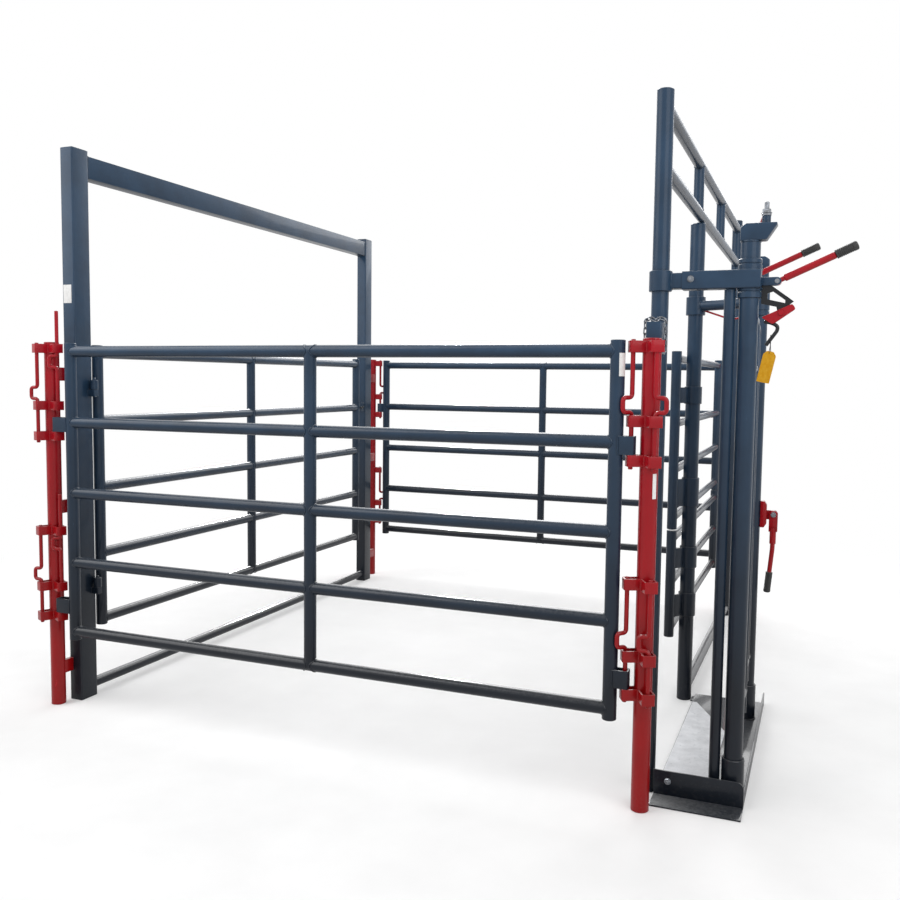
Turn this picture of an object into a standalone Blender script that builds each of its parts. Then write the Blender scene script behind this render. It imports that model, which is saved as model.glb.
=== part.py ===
"""Calving pen: a bow frame and three gates round a square pen, with a headgate in the right wall.

Metres. The origin is the sole of the bow frame's near post, X runs to the right, Y away from the
viewer and Z up. Every object in the collection is one physical piece.
"""

import math

import bmesh
import bpy
from mathutils import Matrix, Vector

GAP = 0.0003

# Bow frame, in the plane x = 0
BOW_X = 0.070
BOW_Y = 0.100
BOW_SPAN = 2.830
BOW_TOP = 2.520
BOW_RAIL_X = 0.065
BOW_RAIL_TOP = BOW_TOP - 0.022
BOW_RAIL_TALL = 0.100
SILL_Z = 0.050
SILL_R = 0.024
KEEPER_Z = 1.300

# Tall posts of the right wall
TALL_R = 0.03015
TALL_TOP = BOW_TOP + 0.004
TALL_X = 2.620

# Red corner posts and their drop-pin stations
RED_R = 0.03175
RED_TOP = 1.652
LEFT_X = -0.042
RIGHT_X = TALL_X + 0.007
NEAR_Y = -0.113
BACK_Y = BOW_SPAN + 0.210
TALL_NEAR_Y = NEAR_Y + 0.173
TALL_FAR_Y = BACK_Y - 0.172
STATION_ANGLE = 25.0
STRAP_REACH = 0.079
STRAP_HALF = 0.023
STRAP_WALL = 0.006
STRAP_TALL = 0.040
GUIDE_TOP = 1.643
CLEVIS_TOPS = (1.390, 1.2545)
SET_DROP = 0.815
PIN_R = 0.008
PIN_U = STRAP_REACH - STRAP_WALL - PIN_R - GAP
PIN_LIFT = 0.140
LOOP_TALL = 0.052
LOOP_REACH = 0.036

# Panels
RAIL_R = 0.02415
STILE_R = 0.0254
RAILS_Z = (1.609, 1.2965, 0.984, 0.6715, 0.359)
STILE_BOTTOM = 0.320
STILE_TOP = 1.646
LUG_Z = CLEVIS_TOPS[1] + GAP
LUG_TALL = 0.064
LUG_PAST = PIN_R + GAP + STRAP_WALL
PIN_TO_STILE = 0.052
A_X = PIN_U * math.cos(math.radians(STATION_ANGLE))
A_Y = PIN_U * math.sin(math.radians(STATION_ANGLE))
FRONT_Y = NEAR_Y - A_Y
REAR_Y = BACK_Y + A_Y
LEFT_PIN_X = LEFT_X + A_X
RIGHT_PIN_X = RIGHT_X - A_X
MID_X = (LEFT_PIN_X + RIGHT_PIN_X) / 2 + 0.0145

# Left gate, hung on the bow frame's near post
LEFT_GATE_X = 0.030
LEFT_GATE_Y = (BOW_Y / 2 + 0.040, BOW_SPAN / 2 - 0.085, BOW_SPAN - 0.185)
LEFT_HINGE = (BOW_X / 2 + 0.025, BOW_Y / 2 - 0.015)
LEFT_HINGE_Z = (0.520, 1.440)
PINTLE_R = 0.008
EYE_R = 0.018

# Right wall
TOP_RAILS_Z = (TALL_TOP - 0.054, TALL_TOP - 0.264)
UPRIGHTS_Y = (TALL_NEAR_Y + 0.940, TALL_NEAR_Y + 1.840)
POST2 = (TALL_X - 0.015, TALL_NEAR_Y + 1.070)
POST2_R = 0.0335
POST2_TOP = TOP_RAILS_Z[1] - RAIL_R - 0.006

# Split side gates, hung on post 2
SIDE_X = POST2[0] - 0.065
SIDE_Y = (POST2[1] - 0.100, TALL_FAR_Y - 0.088)
SIDE_RAIL_R = 0.0190
SIDE_STILE_R = 0.0225
SIDE_UPPER_Z = (1.613, 1.315, 1.100, 0.877)
SIDE_LOWER_Z = (0.778, 0.577, 0.359)
SLEEVE_R = 0.040

# Headgate
DOOR_X = TALL_X + 0.300
DOOR_Y = (TALL_NEAR_Y + 0.030, TALL_NEAR_Y + 0.910)
FAR_X = DOOR_X - 0.022
DOOR_R = 0.033
SOCKET_R = 0.040
SLEEVE_Z = (1.796, 1.930)
CRANK_Z = (1.990, 2.050)
CRANK_PIN = 0.048
CRANK_PIN_R = 0.008
LINK_Z = 2.0753
LINK_THICK = 0.008
ARM_Z = 1.860
FAR_ARM_Z = ARM_Z - 0.004
ARM_Y = TALL_NEAR_Y + 0.015
ARM_HALF = 0.0278
ARM_OUTER_HALF = 0.032
SOCKET_TOP = 0.160
TRAY_WALL = 0.006
SLEEVE_FLAT = SLEEVE_R * math.cos(math.radians(11.25))
LEVER_R = 0.0125
GRIP_R = 0.0155
LEVER_NEAR = (DOOR_X + 0.090, DOOR_Y[0] + 0.010, 1.853)
LEVER_FAR = (FAR_X - 0.016, DOOR_Y[1] - 0.105, 1.959)
LEVER_TILT = 24.5
DROP_Z = 0.930


def clear_scene():
    for obj in list(bpy.data.objects):
        bpy.data.objects.remove(obj, do_unlink=True)


def material(name, colour, metallic, roughness):
    made = bpy.data.materials.new(name)
    made.use_nodes = True
    shader = made.node_tree.nodes["Principled BSDF"]
    shader.inputs["Base Color"].default_value = (*colour, 1.0)
    shader.inputs["Metallic"].default_value = metallic
    shader.inputs["Roughness"].default_value = roughness
    return made


def collection(name):
    made = bpy.data.collections.new(name)
    bpy.context.scene.collection.children.link(made)
    return made


def mesh_of(bm):
    bmesh.ops.recalc_face_normals(bm, faces=bm.faces)
    mesh = bpy.data.meshes.new("piece")
    bm.to_mesh(mesh)
    bm.free()
    return mesh


def tube(start, end, radius, sides=12, turn=0.0):
    """A round bar with flat ends."""
    a, b = Vector(start), Vector(end)
    axis = b - a
    bm = bmesh.new()
    bmesh.ops.create_cone(
        bm, cap_ends=True, segments=sides, radius1=radius, radius2=radius, depth=axis.length
    )
    spin = Matrix.Rotation(math.radians(turn), 4, "Z")
    turned = axis.to_track_quat("Z", "Y").to_matrix().to_4x4()
    bmesh.ops.transform(bm, matrix=Matrix.Translation((a + b) / 2) @ turned @ spin, verts=bm.verts)
    return mesh_of(bm)


def box(low, high, bevel=0.0):
    bm = bmesh.new()
    bmesh.ops.create_cube(bm, size=1.0)
    low, high = Vector(low), Vector(high)
    size = high - low
    for vert in bm.verts:
        vert.co = (low + high) / 2 + Vector(c * s for c, s in zip(vert.co, size))
    if bevel:
        edges = [e for e in bm.edges if abs((e.verts[0].co - e.verts[1].co).normalized().z) > 0.9]
        bmesh.ops.bevel(bm, geom=edges, offset=bevel, segments=2, affect="EDGES", profile=0.5)
    return mesh_of(bm)


def prism(outline, low, high, frame=None):
    """A flat outline extruded from low to high along the frame's own Z."""
    bm = bmesh.new()
    base = [bm.verts.new((u, v, low)) for u, v in outline]
    top = [bm.verts.new((u, v, high)) for u, v in outline]
    bm.faces.new(base[::-1])
    bm.faces.new(top)
    count = len(outline)
    for i in range(count):
        j = (i + 1) % count
        bm.faces.new((base[i], base[j], top[j], top[i]))
    if frame is not None:
        bmesh.ops.transform(bm, matrix=frame, verts=bm.verts)
    return mesh_of(bm)


def swept(path, radius, sides=8, closed=False):
    """A round rod along a path of points, its frames carried from one point to the next."""
    points = [Vector(p) for p in path]
    count = len(points)
    bm = bmesh.new()
    rings = []
    side = None
    for i, point in enumerate(points):
        before = points[i - 1] if i or closed else None
        after = points[(i + 1) % count] if i < count - 1 or closed else None
        into = (point - before).normalized() if before is not None else None
        out = (after - point).normalized() if after is not None else None
        into = into if into is not None else out
        out = out if out is not None else into
        along = (into + out).normalized()
        if side is None:
            side = along.orthogonal().normalized()
        side = (side - along * side.dot(along)).normalized()
        other = along.cross(side)
        across = into.cross(out)
        widen = 1.0 / max(0.5, into.dot(along))
        bend = across.cross(along).normalized() if across.length > 1e-6 else side
        ring = []
        for k in range(sides):
            angle = 2 * math.pi * k / sides
            offset = (side * math.cos(angle) + other * math.sin(angle)) * radius
            offset += bend * offset.dot(bend) * (widen - 1.0)
            ring.append(bm.verts.new(point + offset))
        rings.append(ring)
    pairs = list(zip(rings, rings[1:]))
    if closed:
        pairs.append((rings[-1], rings[0]))
    else:
        bm.faces.new(rings[0][::-1])
        bm.faces.new(rings[-1])
    for one, two in pairs:
        for k in range(sides):
            m = (k + 1) % sides
            bm.faces.new((one[k], one[m], two[m], two[k]))
    return mesh_of(bm)


def upright(x, y, low, high, radius, sides=12):
    return tube((x, y, low), (x, y, high), radius, sides, 180.0 / sides)


def bore(radius, sides):
    """The radius of a many-sided hole whose flats clear a bar that turns in it."""
    return (radius + GAP) / math.cos(math.pi / sides)


def boolean(target, meshes, operation):
    """The target mesh with the others joined to it or cut from it, one at a time."""
    base = bpy.data.objects.new("base", target)
    bpy.context.scene.collection.objects.link(base)
    others = bpy.data.collections.new("others")
    bpy.context.scene.collection.children.link(others)
    for mesh in meshes:
        obj = bpy.data.objects.new("other", mesh)
        others.objects.link(obj)
        modifier = base.modifiers.new("step", "BOOLEAN")
        modifier.solver = "EXACT"
        modifier.operation = operation
        modifier.object = obj
    graph = bpy.context.evaluated_depsgraph_get()
    result = bpy.data.meshes.new_from_object(base.evaluated_get(graph))
    for obj in list(others.objects) + [base]:
        bpy.data.objects.remove(obj, do_unlink=True)
    bpy.data.collections.remove(others)
    return result


def weld(name, pieces, finish, origin=(0.0, 0.0, 0.0), cuts=()):
    """One physical piece: the meshes joined, the cuts taken away, its origin on its own axis."""
    mesh = boolean(pieces[0], pieces[1:], "UNION") if len(pieces) > 1 else pieces[0]
    if cuts:
        mesh = boolean(mesh, cuts, "DIFFERENCE")
    mesh.transform(Matrix.Translation(-Vector(origin)))
    mesh.materials.clear()
    mesh.materials.append(FINISHES[finish].copy())
    mesh.materials[0].name = name
    mesh.name = name
    obj = bpy.data.objects.new(name, mesh)
    obj.location = origin
    PARTS.objects.link(obj)
    return obj


def u_profile(start, reach, half=STRAP_HALF, wall=STRAP_WALL):
    """A bent flat bar seen from above: two legs from start, and a rounded bend at reach."""
    corner = wall
    outer = []
    for sign, angles in ((-1, (-90, -45, 0)), (1, (0, 45, 90))):
        centre = (reach - corner, sign * (half - corner))
        for angle in angles:
            turn = math.radians(angle)
            outer.append((centre[0] + corner * math.cos(turn), centre[1] + corner * math.sin(turn)))
    inner = [(start, half - wall), (reach - wall, half - wall)]
    inner += [(reach - wall, wall - half), (start, wall - half)]
    return [(start, -half)] + outer + [(start, half)] + inner


def station_frame(x, y, angle):
    return Matrix.Translation((x, y, 0)) @ Matrix.Rotation(math.radians(angle), 4, "Z")


def corner_post(name, x, y, angles, stays):
    """A red post with two stations of straps, and the stand-offs that reach its neighbour."""
    pieces = [upright(x, y, 0.0, RED_TOP, RED_R, 16)]
    for angle in angles:
        frame = station_frame(x, y, angle)
        for drop in (0.0, SET_DROP):
            for top in (GUIDE_TOP,) + CLEVIS_TOPS:
                low = top - drop - STRAP_TALL
                pieces.append(prism(u_profile(0.018, STRAP_REACH), low, top - drop, frame))
    pieces += [box(low, high) for low, high in stays]
    weld(name, pieces, "red")


def drop_pin(name, x, y, angle, drop, bulge, raised):
    """A rod with a bent handle that rests on the upper clevis strap."""
    turn = math.radians(angle)
    px, py = x + PIN_U * math.cos(turn), y + PIN_U * math.sin(turn)
    lift = PIN_LIFT if raised else 0.0
    top = GUIDE_TOP - drop + 0.005 + lift
    bottom = CLEVIS_TOPS[1] - STRAP_TALL - drop - 0.010 + lift
    foot = CLEVIS_TOPS[0] - drop + GAP + PIN_R + lift
    head = foot + LOOP_TALL
    reach = LOOP_REACH
    bx, by = math.cos(math.radians(bulge)), math.sin(math.radians(bulge))
    profile = [(0, bottom), (0, foot - 0.005), (0.005, foot), (reach - 0.012, foot)]
    profile += [(reach, foot + 0.012), (reach, head - 0.012), (reach - 0.012, head), (0.005, head)]
    profile += [(0, head + 0.005), (0, top)]
    path = [(px + u * bx, py + u * by, z) for u, z in profile]
    weld(name, [swept(path, PIN_R, 10)], "red", (px, py, foot))


def panel_lug(x_stile, y, x_pin, drop):
    """The strap that stands out of a stile and closes round its pin."""
    sign = 1 if x_pin > x_stile else -1
    reach = abs(x_pin - x_stile) + LUG_PAST
    frame = station_frame(x_stile, y, 0 if sign > 0 else 180)
    return prism(u_profile(0.005, reach), LUG_Z - drop, LUG_Z - drop + LUG_TALL, frame)


def panel(name, y, x_left, x_right, origin):
    pieces = [upright(x, y, STILE_BOTTOM, STILE_TOP, STILE_R) for x in (x_left, x_right)]
    pieces.append(upright(MID_X, y, RAILS_Z[-1], RAILS_Z[0], STILE_R * 0.98))
    for z in RAILS_Z:
        pieces.append(tube((x_left, y, z), (x_right, y, z), RAIL_R, 12, 15))
    for drop in (0.0, SET_DROP):
        pieces.append(panel_lug(x_left, y, LEFT_PIN_X, drop))
        pieces.append(panel_lug(x_right, y, RIGHT_PIN_X, drop))
    weld(name, pieces, "paint", origin)


def chain(name, points, finish, link_r=0.0035, long=0.020, wide=0.009):
    """Links joined end to end along a line of points, each turned a quarter from the last."""
    pieces = []
    for i, (a, b) in enumerate(zip(points, points[1:])):
        a, b = Vector(a), Vector(b)
        middle, along = (a + b) / 2, (b - a).normalized()
        across = along.orthogonal().normalized()
        if i % 2:
            across = along.cross(across)
        half = (b - a).length / 2 + link_r * 0.6
        loop = []
        for k in range(10):
            angle = 2 * math.pi * k / 10
            loop.append(middle + along * half * math.cos(angle) + across * wide * math.sin(angle))
        pieces.append(swept(loop, link_r, 6, True))
    weld(name, pieces, finish)


def bow_frame():
    pintle = []
    hx, hy = LEFT_HINGE
    for z in LEFT_HINGE_Z:
        pintle.append(box((0.030, hy - 0.015, z - 0.030), (hx + 0.014, hy + 0.013, z)))
        pintle.append(upright(hx, hy, z - 0.01, z + 0.055, PINTLE_R))
    near = [box((-BOW_X / 2, -BOW_Y / 2, 0), (BOW_X / 2, BOW_Y / 2, BOW_TOP), 0.006)]
    weld("bow_post_near", near + pintle, "paint")
    low, high = BOW_SPAN - BOW_Y / 2, BOW_SPAN + BOW_Y / 2
    far = [box((-BOW_X / 2, low, 0), (BOW_X / 2, high, BOW_TOP), 0.006)]
    far.append(box((0.020, low - 0.040, KEEPER_Z - 0.030), (0.028, low + 0.010, KEEPER_Z + 0.030)))
    slot = [tube((0.0, low - 0.022, KEEPER_Z), (0.05, low - 0.022, KEEPER_Z), 0.009)]
    weld("bow_post_far", far, "paint", cuts=slot)
    start, end = BOW_Y / 2 + GAP, low - GAP
    half = BOW_RAIL_X / 2
    weld(
        "bow_top_rail",
        [box((-half, start, BOW_RAIL_TOP - BOW_RAIL_TALL), (half, end, BOW_RAIL_TOP))],
        "paint",
    )
    weld("bow_sill", [tube((0, start, SILL_Z), (0, end, SILL_Z), SILL_R)], "paint")


def left_gate():
    hx, hy = LEFT_HINGE
    x = LEFT_GATE_X
    pieces = [upright(x, y, 0.330, STILE_TOP, STILE_R) for y in LEFT_GATE_Y[::2]]
    pieces.append(upright(x, LEFT_GATE_Y[1], RAILS_Z[-1], RAILS_Z[0], STILE_R * 0.98))
    for z in RAILS_Z:
        pieces.append(tube((x, LEFT_GATE_Y[0], z), (x, LEFT_GATE_Y[2], z), RAIL_R, 12, 15))
    cuts = []
    lean = math.degrees(math.atan2(LEFT_GATE_Y[0] - hy, x - hx))
    frame = station_frame(hx, hy, lean)
    for z in LEFT_HINGE_Z:
        pieces.append(upright(hx, hy, z + GAP, z + 0.045, EYE_R))
        reach = math.hypot(LEFT_GATE_Y[0] - hy, x - hx)
        web = [(0.010, -0.006), (reach, -0.006), (reach, 0.006), (0.010, 0.006)]
        pieces.append(prism(web, z + 0.005, z + 0.040, frame))
        cuts.append(upright(hx, hy, z - 0.01, z + 0.07, bore(PINTLE_R, 12)))
    tip = LEFT_GATE_Y[2] + STILE_R
    pieces.append(box((x - 0.004, tip - 0.006, KEEPER_Z - 0.030), (x + 0.004, tip + 0.030, KEEPER_Z + 0.020)))
    weld("gate_left", pieces, "paint", (hx, hy, 0), cuts)
    links = [(x + 0.012, tip + 0.020 + 0.016 * i, KEEPER_Z - 0.005) for i in range(4)]
    chain("gate_left_chain", links, "black", 0.0025, wide=0.0075)


def right_wall():
    sleeve_x = TALL_X
    weld("tall_post_near", [upright(sleeve_x, TALL_NEAR_Y, 0, TALL_TOP, TALL_R, 16)], "paint")
    weld("tall_post_far", [upright(sleeve_x, TALL_FAR_Y, 0, TALL_TOP, TALL_R, 16)], "paint")
    x = TALL_X
    pieces = [tube((x, TALL_NEAR_Y, z), (x, TALL_FAR_Y, z), RAIL_R, 12, 15) for z in TOP_RAILS_Z]
    for y in UPRIGHTS_Y:
        pieces.append(upright(x, y, TOP_RAILS_Z[1], TOP_RAILS_Z[0], RAIL_R * 0.94))
    cuts = []
    for y in (TALL_NEAR_Y, TALL_FAR_Y):
        sign = 1 if y == TALL_FAR_Y else -1
        low, high = sorted((y, y + sign * 0.3))
        cuts.append(upright(x, y, TOP_RAILS_Z[1] - 0.1, TALL_TOP + 0.1, TALL_R + GAP, 16))
        cuts.append(box((x - 0.1, low, TOP_RAILS_Z[1] - 0.1), (x + 0.1, high, TALL_TOP + 0.1)))
    weld("right_upper_rails", pieces, "paint", cuts=cuts)
    post = [upright(*POST2, 0, POST2_TOP, POST2_R, 16)]
    rail_flat = TOP_RAILS_Z[1] - RAIL_R * math.cos(math.radians(15)) - 2 * GAP
    post.append(box((x - 0.020, POST2[1] - 0.012, POST2_TOP - 0.02), (x + 0.015, POST2[1] + 0.012, rail_flat)))
    weld("post_two", post, "paint")
    sill = [tube((POST2[0], POST2[1], SILL_Z), (x, TALL_FAR_Y, SILL_Z), SILL_R)]
    ends = [upright(*POST2, -0.1, 0.2, POST2_R + GAP, 16), upright(x, TALL_FAR_Y, -0.1, 0.2, TALL_R + GAP, 16)]
    ends.append(box((x - 0.2, TALL_FAR_Y, -0.1), (x + 0.2, TALL_FAR_Y + 0.2, 0.2)))
    ends.append(box((x - 0.2, POST2[1] - 0.2, -0.1), (x + 0.2, POST2[1], 0.2)))
    weld("right_sill", sill, "paint", cuts=ends)


def side_gate(name, rails, low, high, sleeves):
    """A short gate beside post 2, carried by two sleeves that turn on the post."""
    pieces = [upright(SIDE_X, y, low, high, SIDE_STILE_R) for y in SIDE_Y]
    for z in rails:
        pieces.append(tube((SIDE_X, SIDE_Y[0], z), (SIDE_X, SIDE_Y[1], z), SIDE_RAIL_R, 12, 15))
    cuts = []
    lean = math.degrees(math.atan2(SIDE_Y[0] - POST2[1], SIDE_X - POST2[0]))
    frame = station_frame(*POST2, lean)
    reach = math.hypot(SIDE_Y[0] - POST2[1], SIDE_X - POST2[0])
    for z_low, z_high in sleeves:
        pieces.append(upright(*POST2, z_low, z_high, SLEEVE_R, 16))
        web = [(0.030, -0.008), (reach, -0.008), (reach, 0.008), (0.030, 0.008)]
        pieces.append(prism(web, z_low + 0.004, z_high - 0.004, frame))
        cuts.append(upright(*POST2, z_low - 0.05, z_high + 0.05, bore(POST2_R, 16), 16))
    return weld(name, pieces, "paint", (*POST2, 0), cuts)


def side_gates():
    side_gate("gate_side_upper", SIDE_UPPER_Z, 0.826, 1.646, ((1.405, 1.485), (0.925, 1.060)))
    side_gate("gate_side_lower", SIDE_LOWER_Z, 0.320, 0.820, ((0.635, 0.735), (0.405, 0.515)))


def crank_head(x, y, sign):
    """The elbow on a door post: a bar with a pointed end, its boss and the link's pin."""
    low, high = CRANK_Z
    side = [(-0.034, low), (0.052, low + 0.002), (0.085, high - 0.008), (0.085, high), (-0.016, high)]
    side.append((-0.034, high - 0.012))
    frame = Matrix.Translation((x, y, 0)) @ Matrix(
        ((sign, 0, 0, 0), (0, 0, 1, 0), (0, 1, 0, 0), (0, 0, 0, 1))
    )
    pieces = [prism(side, -0.028, 0.028, frame)]
    px = x + sign * CRANK_PIN
    pieces.append(upright(px, y, high - 0.01, LINK_Z - GAP, 0.0145))
    pieces.append(upright(px, y, high - 0.01, 2.122, CRANK_PIN_R, 10))
    top = LINK_Z + LINK_THICK + GAP
    pieces.append(upright(px, y, top, top + 0.014, 0.0165, 6))
    return pieces


def door(name, x, y, sign):
    """A headgate door: a turning post, its crank, and three bars between two cross rails."""
    way = 1 if sign > 0 else -1
    pieces = [upright(x, y, 0.030, CRANK_Z[0] + 0.01, DOOR_R, 16)]
    pieces += crank_head(x, y, sign)
    bars = [y + way * d for d in (0.120, 0.235, 0.350)]
    for bar in bars:
        pieces.append(upright(x, bar, 0.210, 1.740, 0.0165))
    for z in (0.300, 1.560):
        pieces.append(tube((x, y, z), (x, bars[-1], z), 0.0170, 12, 15))
    pieces.append(tube((x, bars[0], 1.740), (x, bars[-1], 1.740), 0.0165, 12, 15))
    weld(name, pieces, "paint", (x, y, 0))


def sleeve(x, y):
    return upright(x, y, *SLEEVE_Z, SLEEVE_R, 16)


def sleeve_bore(x, y):
    return upright(x, y, SLEEVE_Z[0] - 0.1, SLEEVE_Z[1] + 0.1, bore(DOOR_R, 16), 16)


def clevis(x, y, z, low_x, low_z):
    """Two cheeks from a low corner up to a cross pin at x, z."""
    pieces = []
    for low in (y - 0.0155, y + 0.0095):
        pieces.append(box((low_x, low, low_z), (x + 0.014, low + 0.006, z + 0.014)))
    pieces.append(tube((x, y - 0.018, z), (x, y + 0.018, z), 0.005, 8))
    return pieces


def lever(name, root, y):
    """A red hand lever with an eye on a cross pin and a black grip pushed on its end."""
    x, z = root[0], root[2]
    turn = math.radians(LEVER_TILT)
    ux, uz = math.cos(turn), math.sin(turn)

    def at(distance):
        return (x + ux * distance, y, z + uz * distance)

    pieces = [tube((x, y - 0.0090, z), (x, y + 0.0090, z), 0.014, 12)]
    pieces.append(box((x, y - 0.0090, z - 0.004), (x + 0.012, y + 0.0090, z + 0.004)))
    pieces.append(tube(at(0.008), at(0.250), 0.0085, 12))
    pieces.append(tube(at(0.026), at(0.200), LEVER_R, 12))
    eye = [tube((x, y - 0.05, z), (x, y + 0.05, z), bore(0.005, 8), 8)]
    weld(name, pieces, "red", root, eye)
    grip = [tube(at(0.2005), at(0.2750), GRIP_R, 12)]
    hollow = [tube(at(0.15), at(0.2515), 0.0085 + GAP, 12)]
    weld(name + "_grip", grip, "black", root, hollow)


def arm_bar(start, end, half):
    """A square bar along the near arm's line."""
    return box((start, ARM_Y - half, ARM_Z - half), (end, ARM_Y + half, ARM_Z + half))


def headgate():
    near_y, far_y = DOOR_Y
    door("door_near", DOOR_X, near_y, 1)
    door("door_far", FAR_X, far_y, -1)

    start = (DOOR_X + CRANK_PIN, near_y)
    end = (FAR_X - CRANK_PIN, far_y)
    lean = math.degrees(math.atan2(end[1] - start[1], end[0] - start[0]))
    span = math.hypot(end[0] - start[0], end[1] - start[1])
    frame = station_frame(*start, lean)
    bar = [(0, -0.011), (span, -0.011), (span, 0.011), (0, 0.011)]
    low, high = LINK_Z, LINK_Z + LINK_THICK
    rod = [prism(bar, low, high, frame), upright(*start, low, high, 0.016), upright(*end, low, high, 0.030)]
    holes = [upright(*start, low - 0.02, high + 0.02, bore(CRANK_PIN_R, 12), 12)]
    holes.append(upright(*end, low - 0.02, high + 0.02, 0.020, 16))
    weld("cross_link", rod, "red", (*start, low), holes)

    collar = upright(TALL_X, TALL_NEAR_Y, ARM_Z - 0.036, ARM_Z + 0.036, SLEEVE_R, 16)
    inner = arm_bar(TALL_X, DOOR_X - 0.060, ARM_HALF)
    seat = [upright(TALL_X, TALL_NEAR_Y, ARM_Z - 0.1, ARM_Z + 0.1, TALL_R + GAP, 16)]
    weld("arm_near_inner", [collar, inner], "paint", cuts=seat)

    outer = arm_bar(TALL_X + 0.076, DOOR_X + SLEEVE_FLAT, ARM_OUTER_HALF)
    cuts = [sleeve_bore(DOOR_X, near_y), arm_bar(TALL_X, DOOR_X - 0.0595, ARM_HALF + GAP)]
    rx, ry, rz = LEVER_NEAR
    pieces = [sleeve(DOOR_X, near_y), outer] + clevis(rx, ry, rz, rx - 0.067, rz - 0.014)
    weld("arm_near_sleeve", pieces, "paint", cuts=cuts)

    collar = upright(*POST2, FAR_ARM_Z - 0.042, FAR_ARM_Z + 0.042, POST2_R + 0.010, 16)
    arm = tube((*POST2, FAR_ARM_Z), (FAR_X, far_y, FAR_ARM_Z), 0.0240, 12, 15)
    rx, ry, rz = LEVER_FAR
    root = box((rx - 0.010, ry - 0.0120, rz - 0.072), (rx + 0.012, far_y - 0.020, rz - 0.032))
    cheeks = clevis(rx, ry, rz, rx - 0.014, rz - 0.060)
    seat = upright(*POST2, FAR_ARM_Z - 0.1, FAR_ARM_Z + 0.1, POST2_R + GAP, 16)
    parts = [collar, arm, sleeve(FAR_X, far_y), root] + cheeks
    weld("arm_far", parts, "paint", cuts=[seat, sleeve_bore(FAR_X, far_y)])

    foot = (DOOR_X - 0.063, near_y - 0.010)
    weld("side_tube", [upright(*foot, TRAY_WALL + GAP, ARM_Z - ARM_OUTER_HALF - GAP, 0.0195)], "paint")
    lever("lever_near", LEVER_NEAR, LEVER_NEAR[1])
    lever("lever_far", LEVER_FAR, LEVER_FAR[1])


def xz_frame(y):
    """A frame whose X is the world's X, whose Y is the world's Z, and whose Z is the world's Y."""
    return Matrix(((1, 0, 0, 0), (0, 0, 1, y), (0, 1, 0, 0), (0, 0, 0, 1)))


def latch_gear():
    """The bracket, plates, rod and tag that hang beside the near sleeve, and the small bolts."""
    x, y = DOOR_X, DOOR_Y[0] + 0.005
    edge = x + SLEEVE_FLAT + GAP
    arm = [(edge, 1.850), (edge, 1.777), (x + 0.090, 1.766), (x + 0.097, 1.734), (x + 0.115, 1.734)]
    arm += [(x + 0.122, 1.764), (x + 0.146, 1.783), (x + 0.128, 1.797), (x + 0.076, 1.836)]
    window = [(x + 0.060, 1.812), (x + 0.060, 1.792), (x + 0.118, 1.778), (x + 0.118, 1.788), (x + 0.078, 1.818)]
    bolt = (x + 0.106, y, 1.745)
    hole = tube((bolt[0], y - 0.05, bolt[2]), (bolt[0], y + 0.05, bolt[2]), 0.006 + GAP, 10)
    cuts = [prism(window, -0.02, 0.02, xz_frame(y)), hole]
    weld("latch_bracket", [prism(arm, -0.003, 0.003, xz_frame(y))], "black", cuts=cuts)

    bar = [(x + 0.042, 1.730), (x + 0.080, 1.706), (x + 0.153, 1.758), (x + 0.142, 1.775)]
    plates = [prism(bar, low, low + 0.004, xz_frame(y)) for low in (-0.0108, 0.0068)]
    plates.append(tube((bolt[0], y - 0.019, bolt[2]), (bolt[0], y + 0.015, bolt[2]), 0.006, 10))
    plates.append(tube((bolt[0], y - 0.019, bolt[2]), (bolt[0], y - 0.010, bolt[2]), 0.010, 6))
    weld("latch_plates", plates, "red")

    rod = [(0.052, 1.716), (0.078, 1.711), (0.0905, 1.704), (0.0960, 1.692), (0.0940, 1.682), (0.060, 1.634)]
    weld("latch_rod", [swept([(x + u, y, z) for u, z in rod], 0.0065, 8)], "black")

    centre = Vector((x + 0.065, y, 1.560))
    corners = [(-0.026, -0.055), (0.026, -0.055), (0.026, 0.042), (0.013, 0.055), (-0.013, 0.055), (-0.026, 0.042)]
    lean = Matrix.Rotation(math.radians(12), 4, "Y") @ Matrix.Rotation(math.radians(38), 4, "Z")
    frame = Matrix.Translation(centre) @ lean @ xz_frame(0)
    wire = [(0.0748, -0.0066, 1.632), (0.0752, -0.0090, 1.655), (0.0752, -0.0080, 1.6652)]
    wire += [(0.0752, 0, 1.6718), (0.0752, 0.0080, 1.6652), (0.0752, 0.0090, 1.655), (0.0756, 0.0066, 1.632)]
    ends = [tuple(frame @ Vector((u, 0.046, 0))) for u in (-0.0042, 0.0042)]
    pieces = [prism(corners, -0.0006, 0.0006, frame)]
    pieces.append(swept([ends[0]] + [(x + u, y + v, z) for u, v, z in wire] + [ends[1]], 0.0012, 6))
    weld("tag", pieces, "yellow", tuple(centre))

    bolt_x, face = TALL_X + 0.106, ARM_Y - ARM_OUTER_HALF - GAP
    weld("arm_set_bolt", [
        tube((bolt_x, face, ARM_Z + 0.004), (bolt_x, face - 0.0087, ARM_Z + 0.004), 0.0105, 6),
        tube((bolt_x, face - 0.0040, ARM_Z + 0.004), (bolt_x, face - 0.0140, ARM_Z + 0.004), 0.005, 8),
    ], "zinc")


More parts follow.
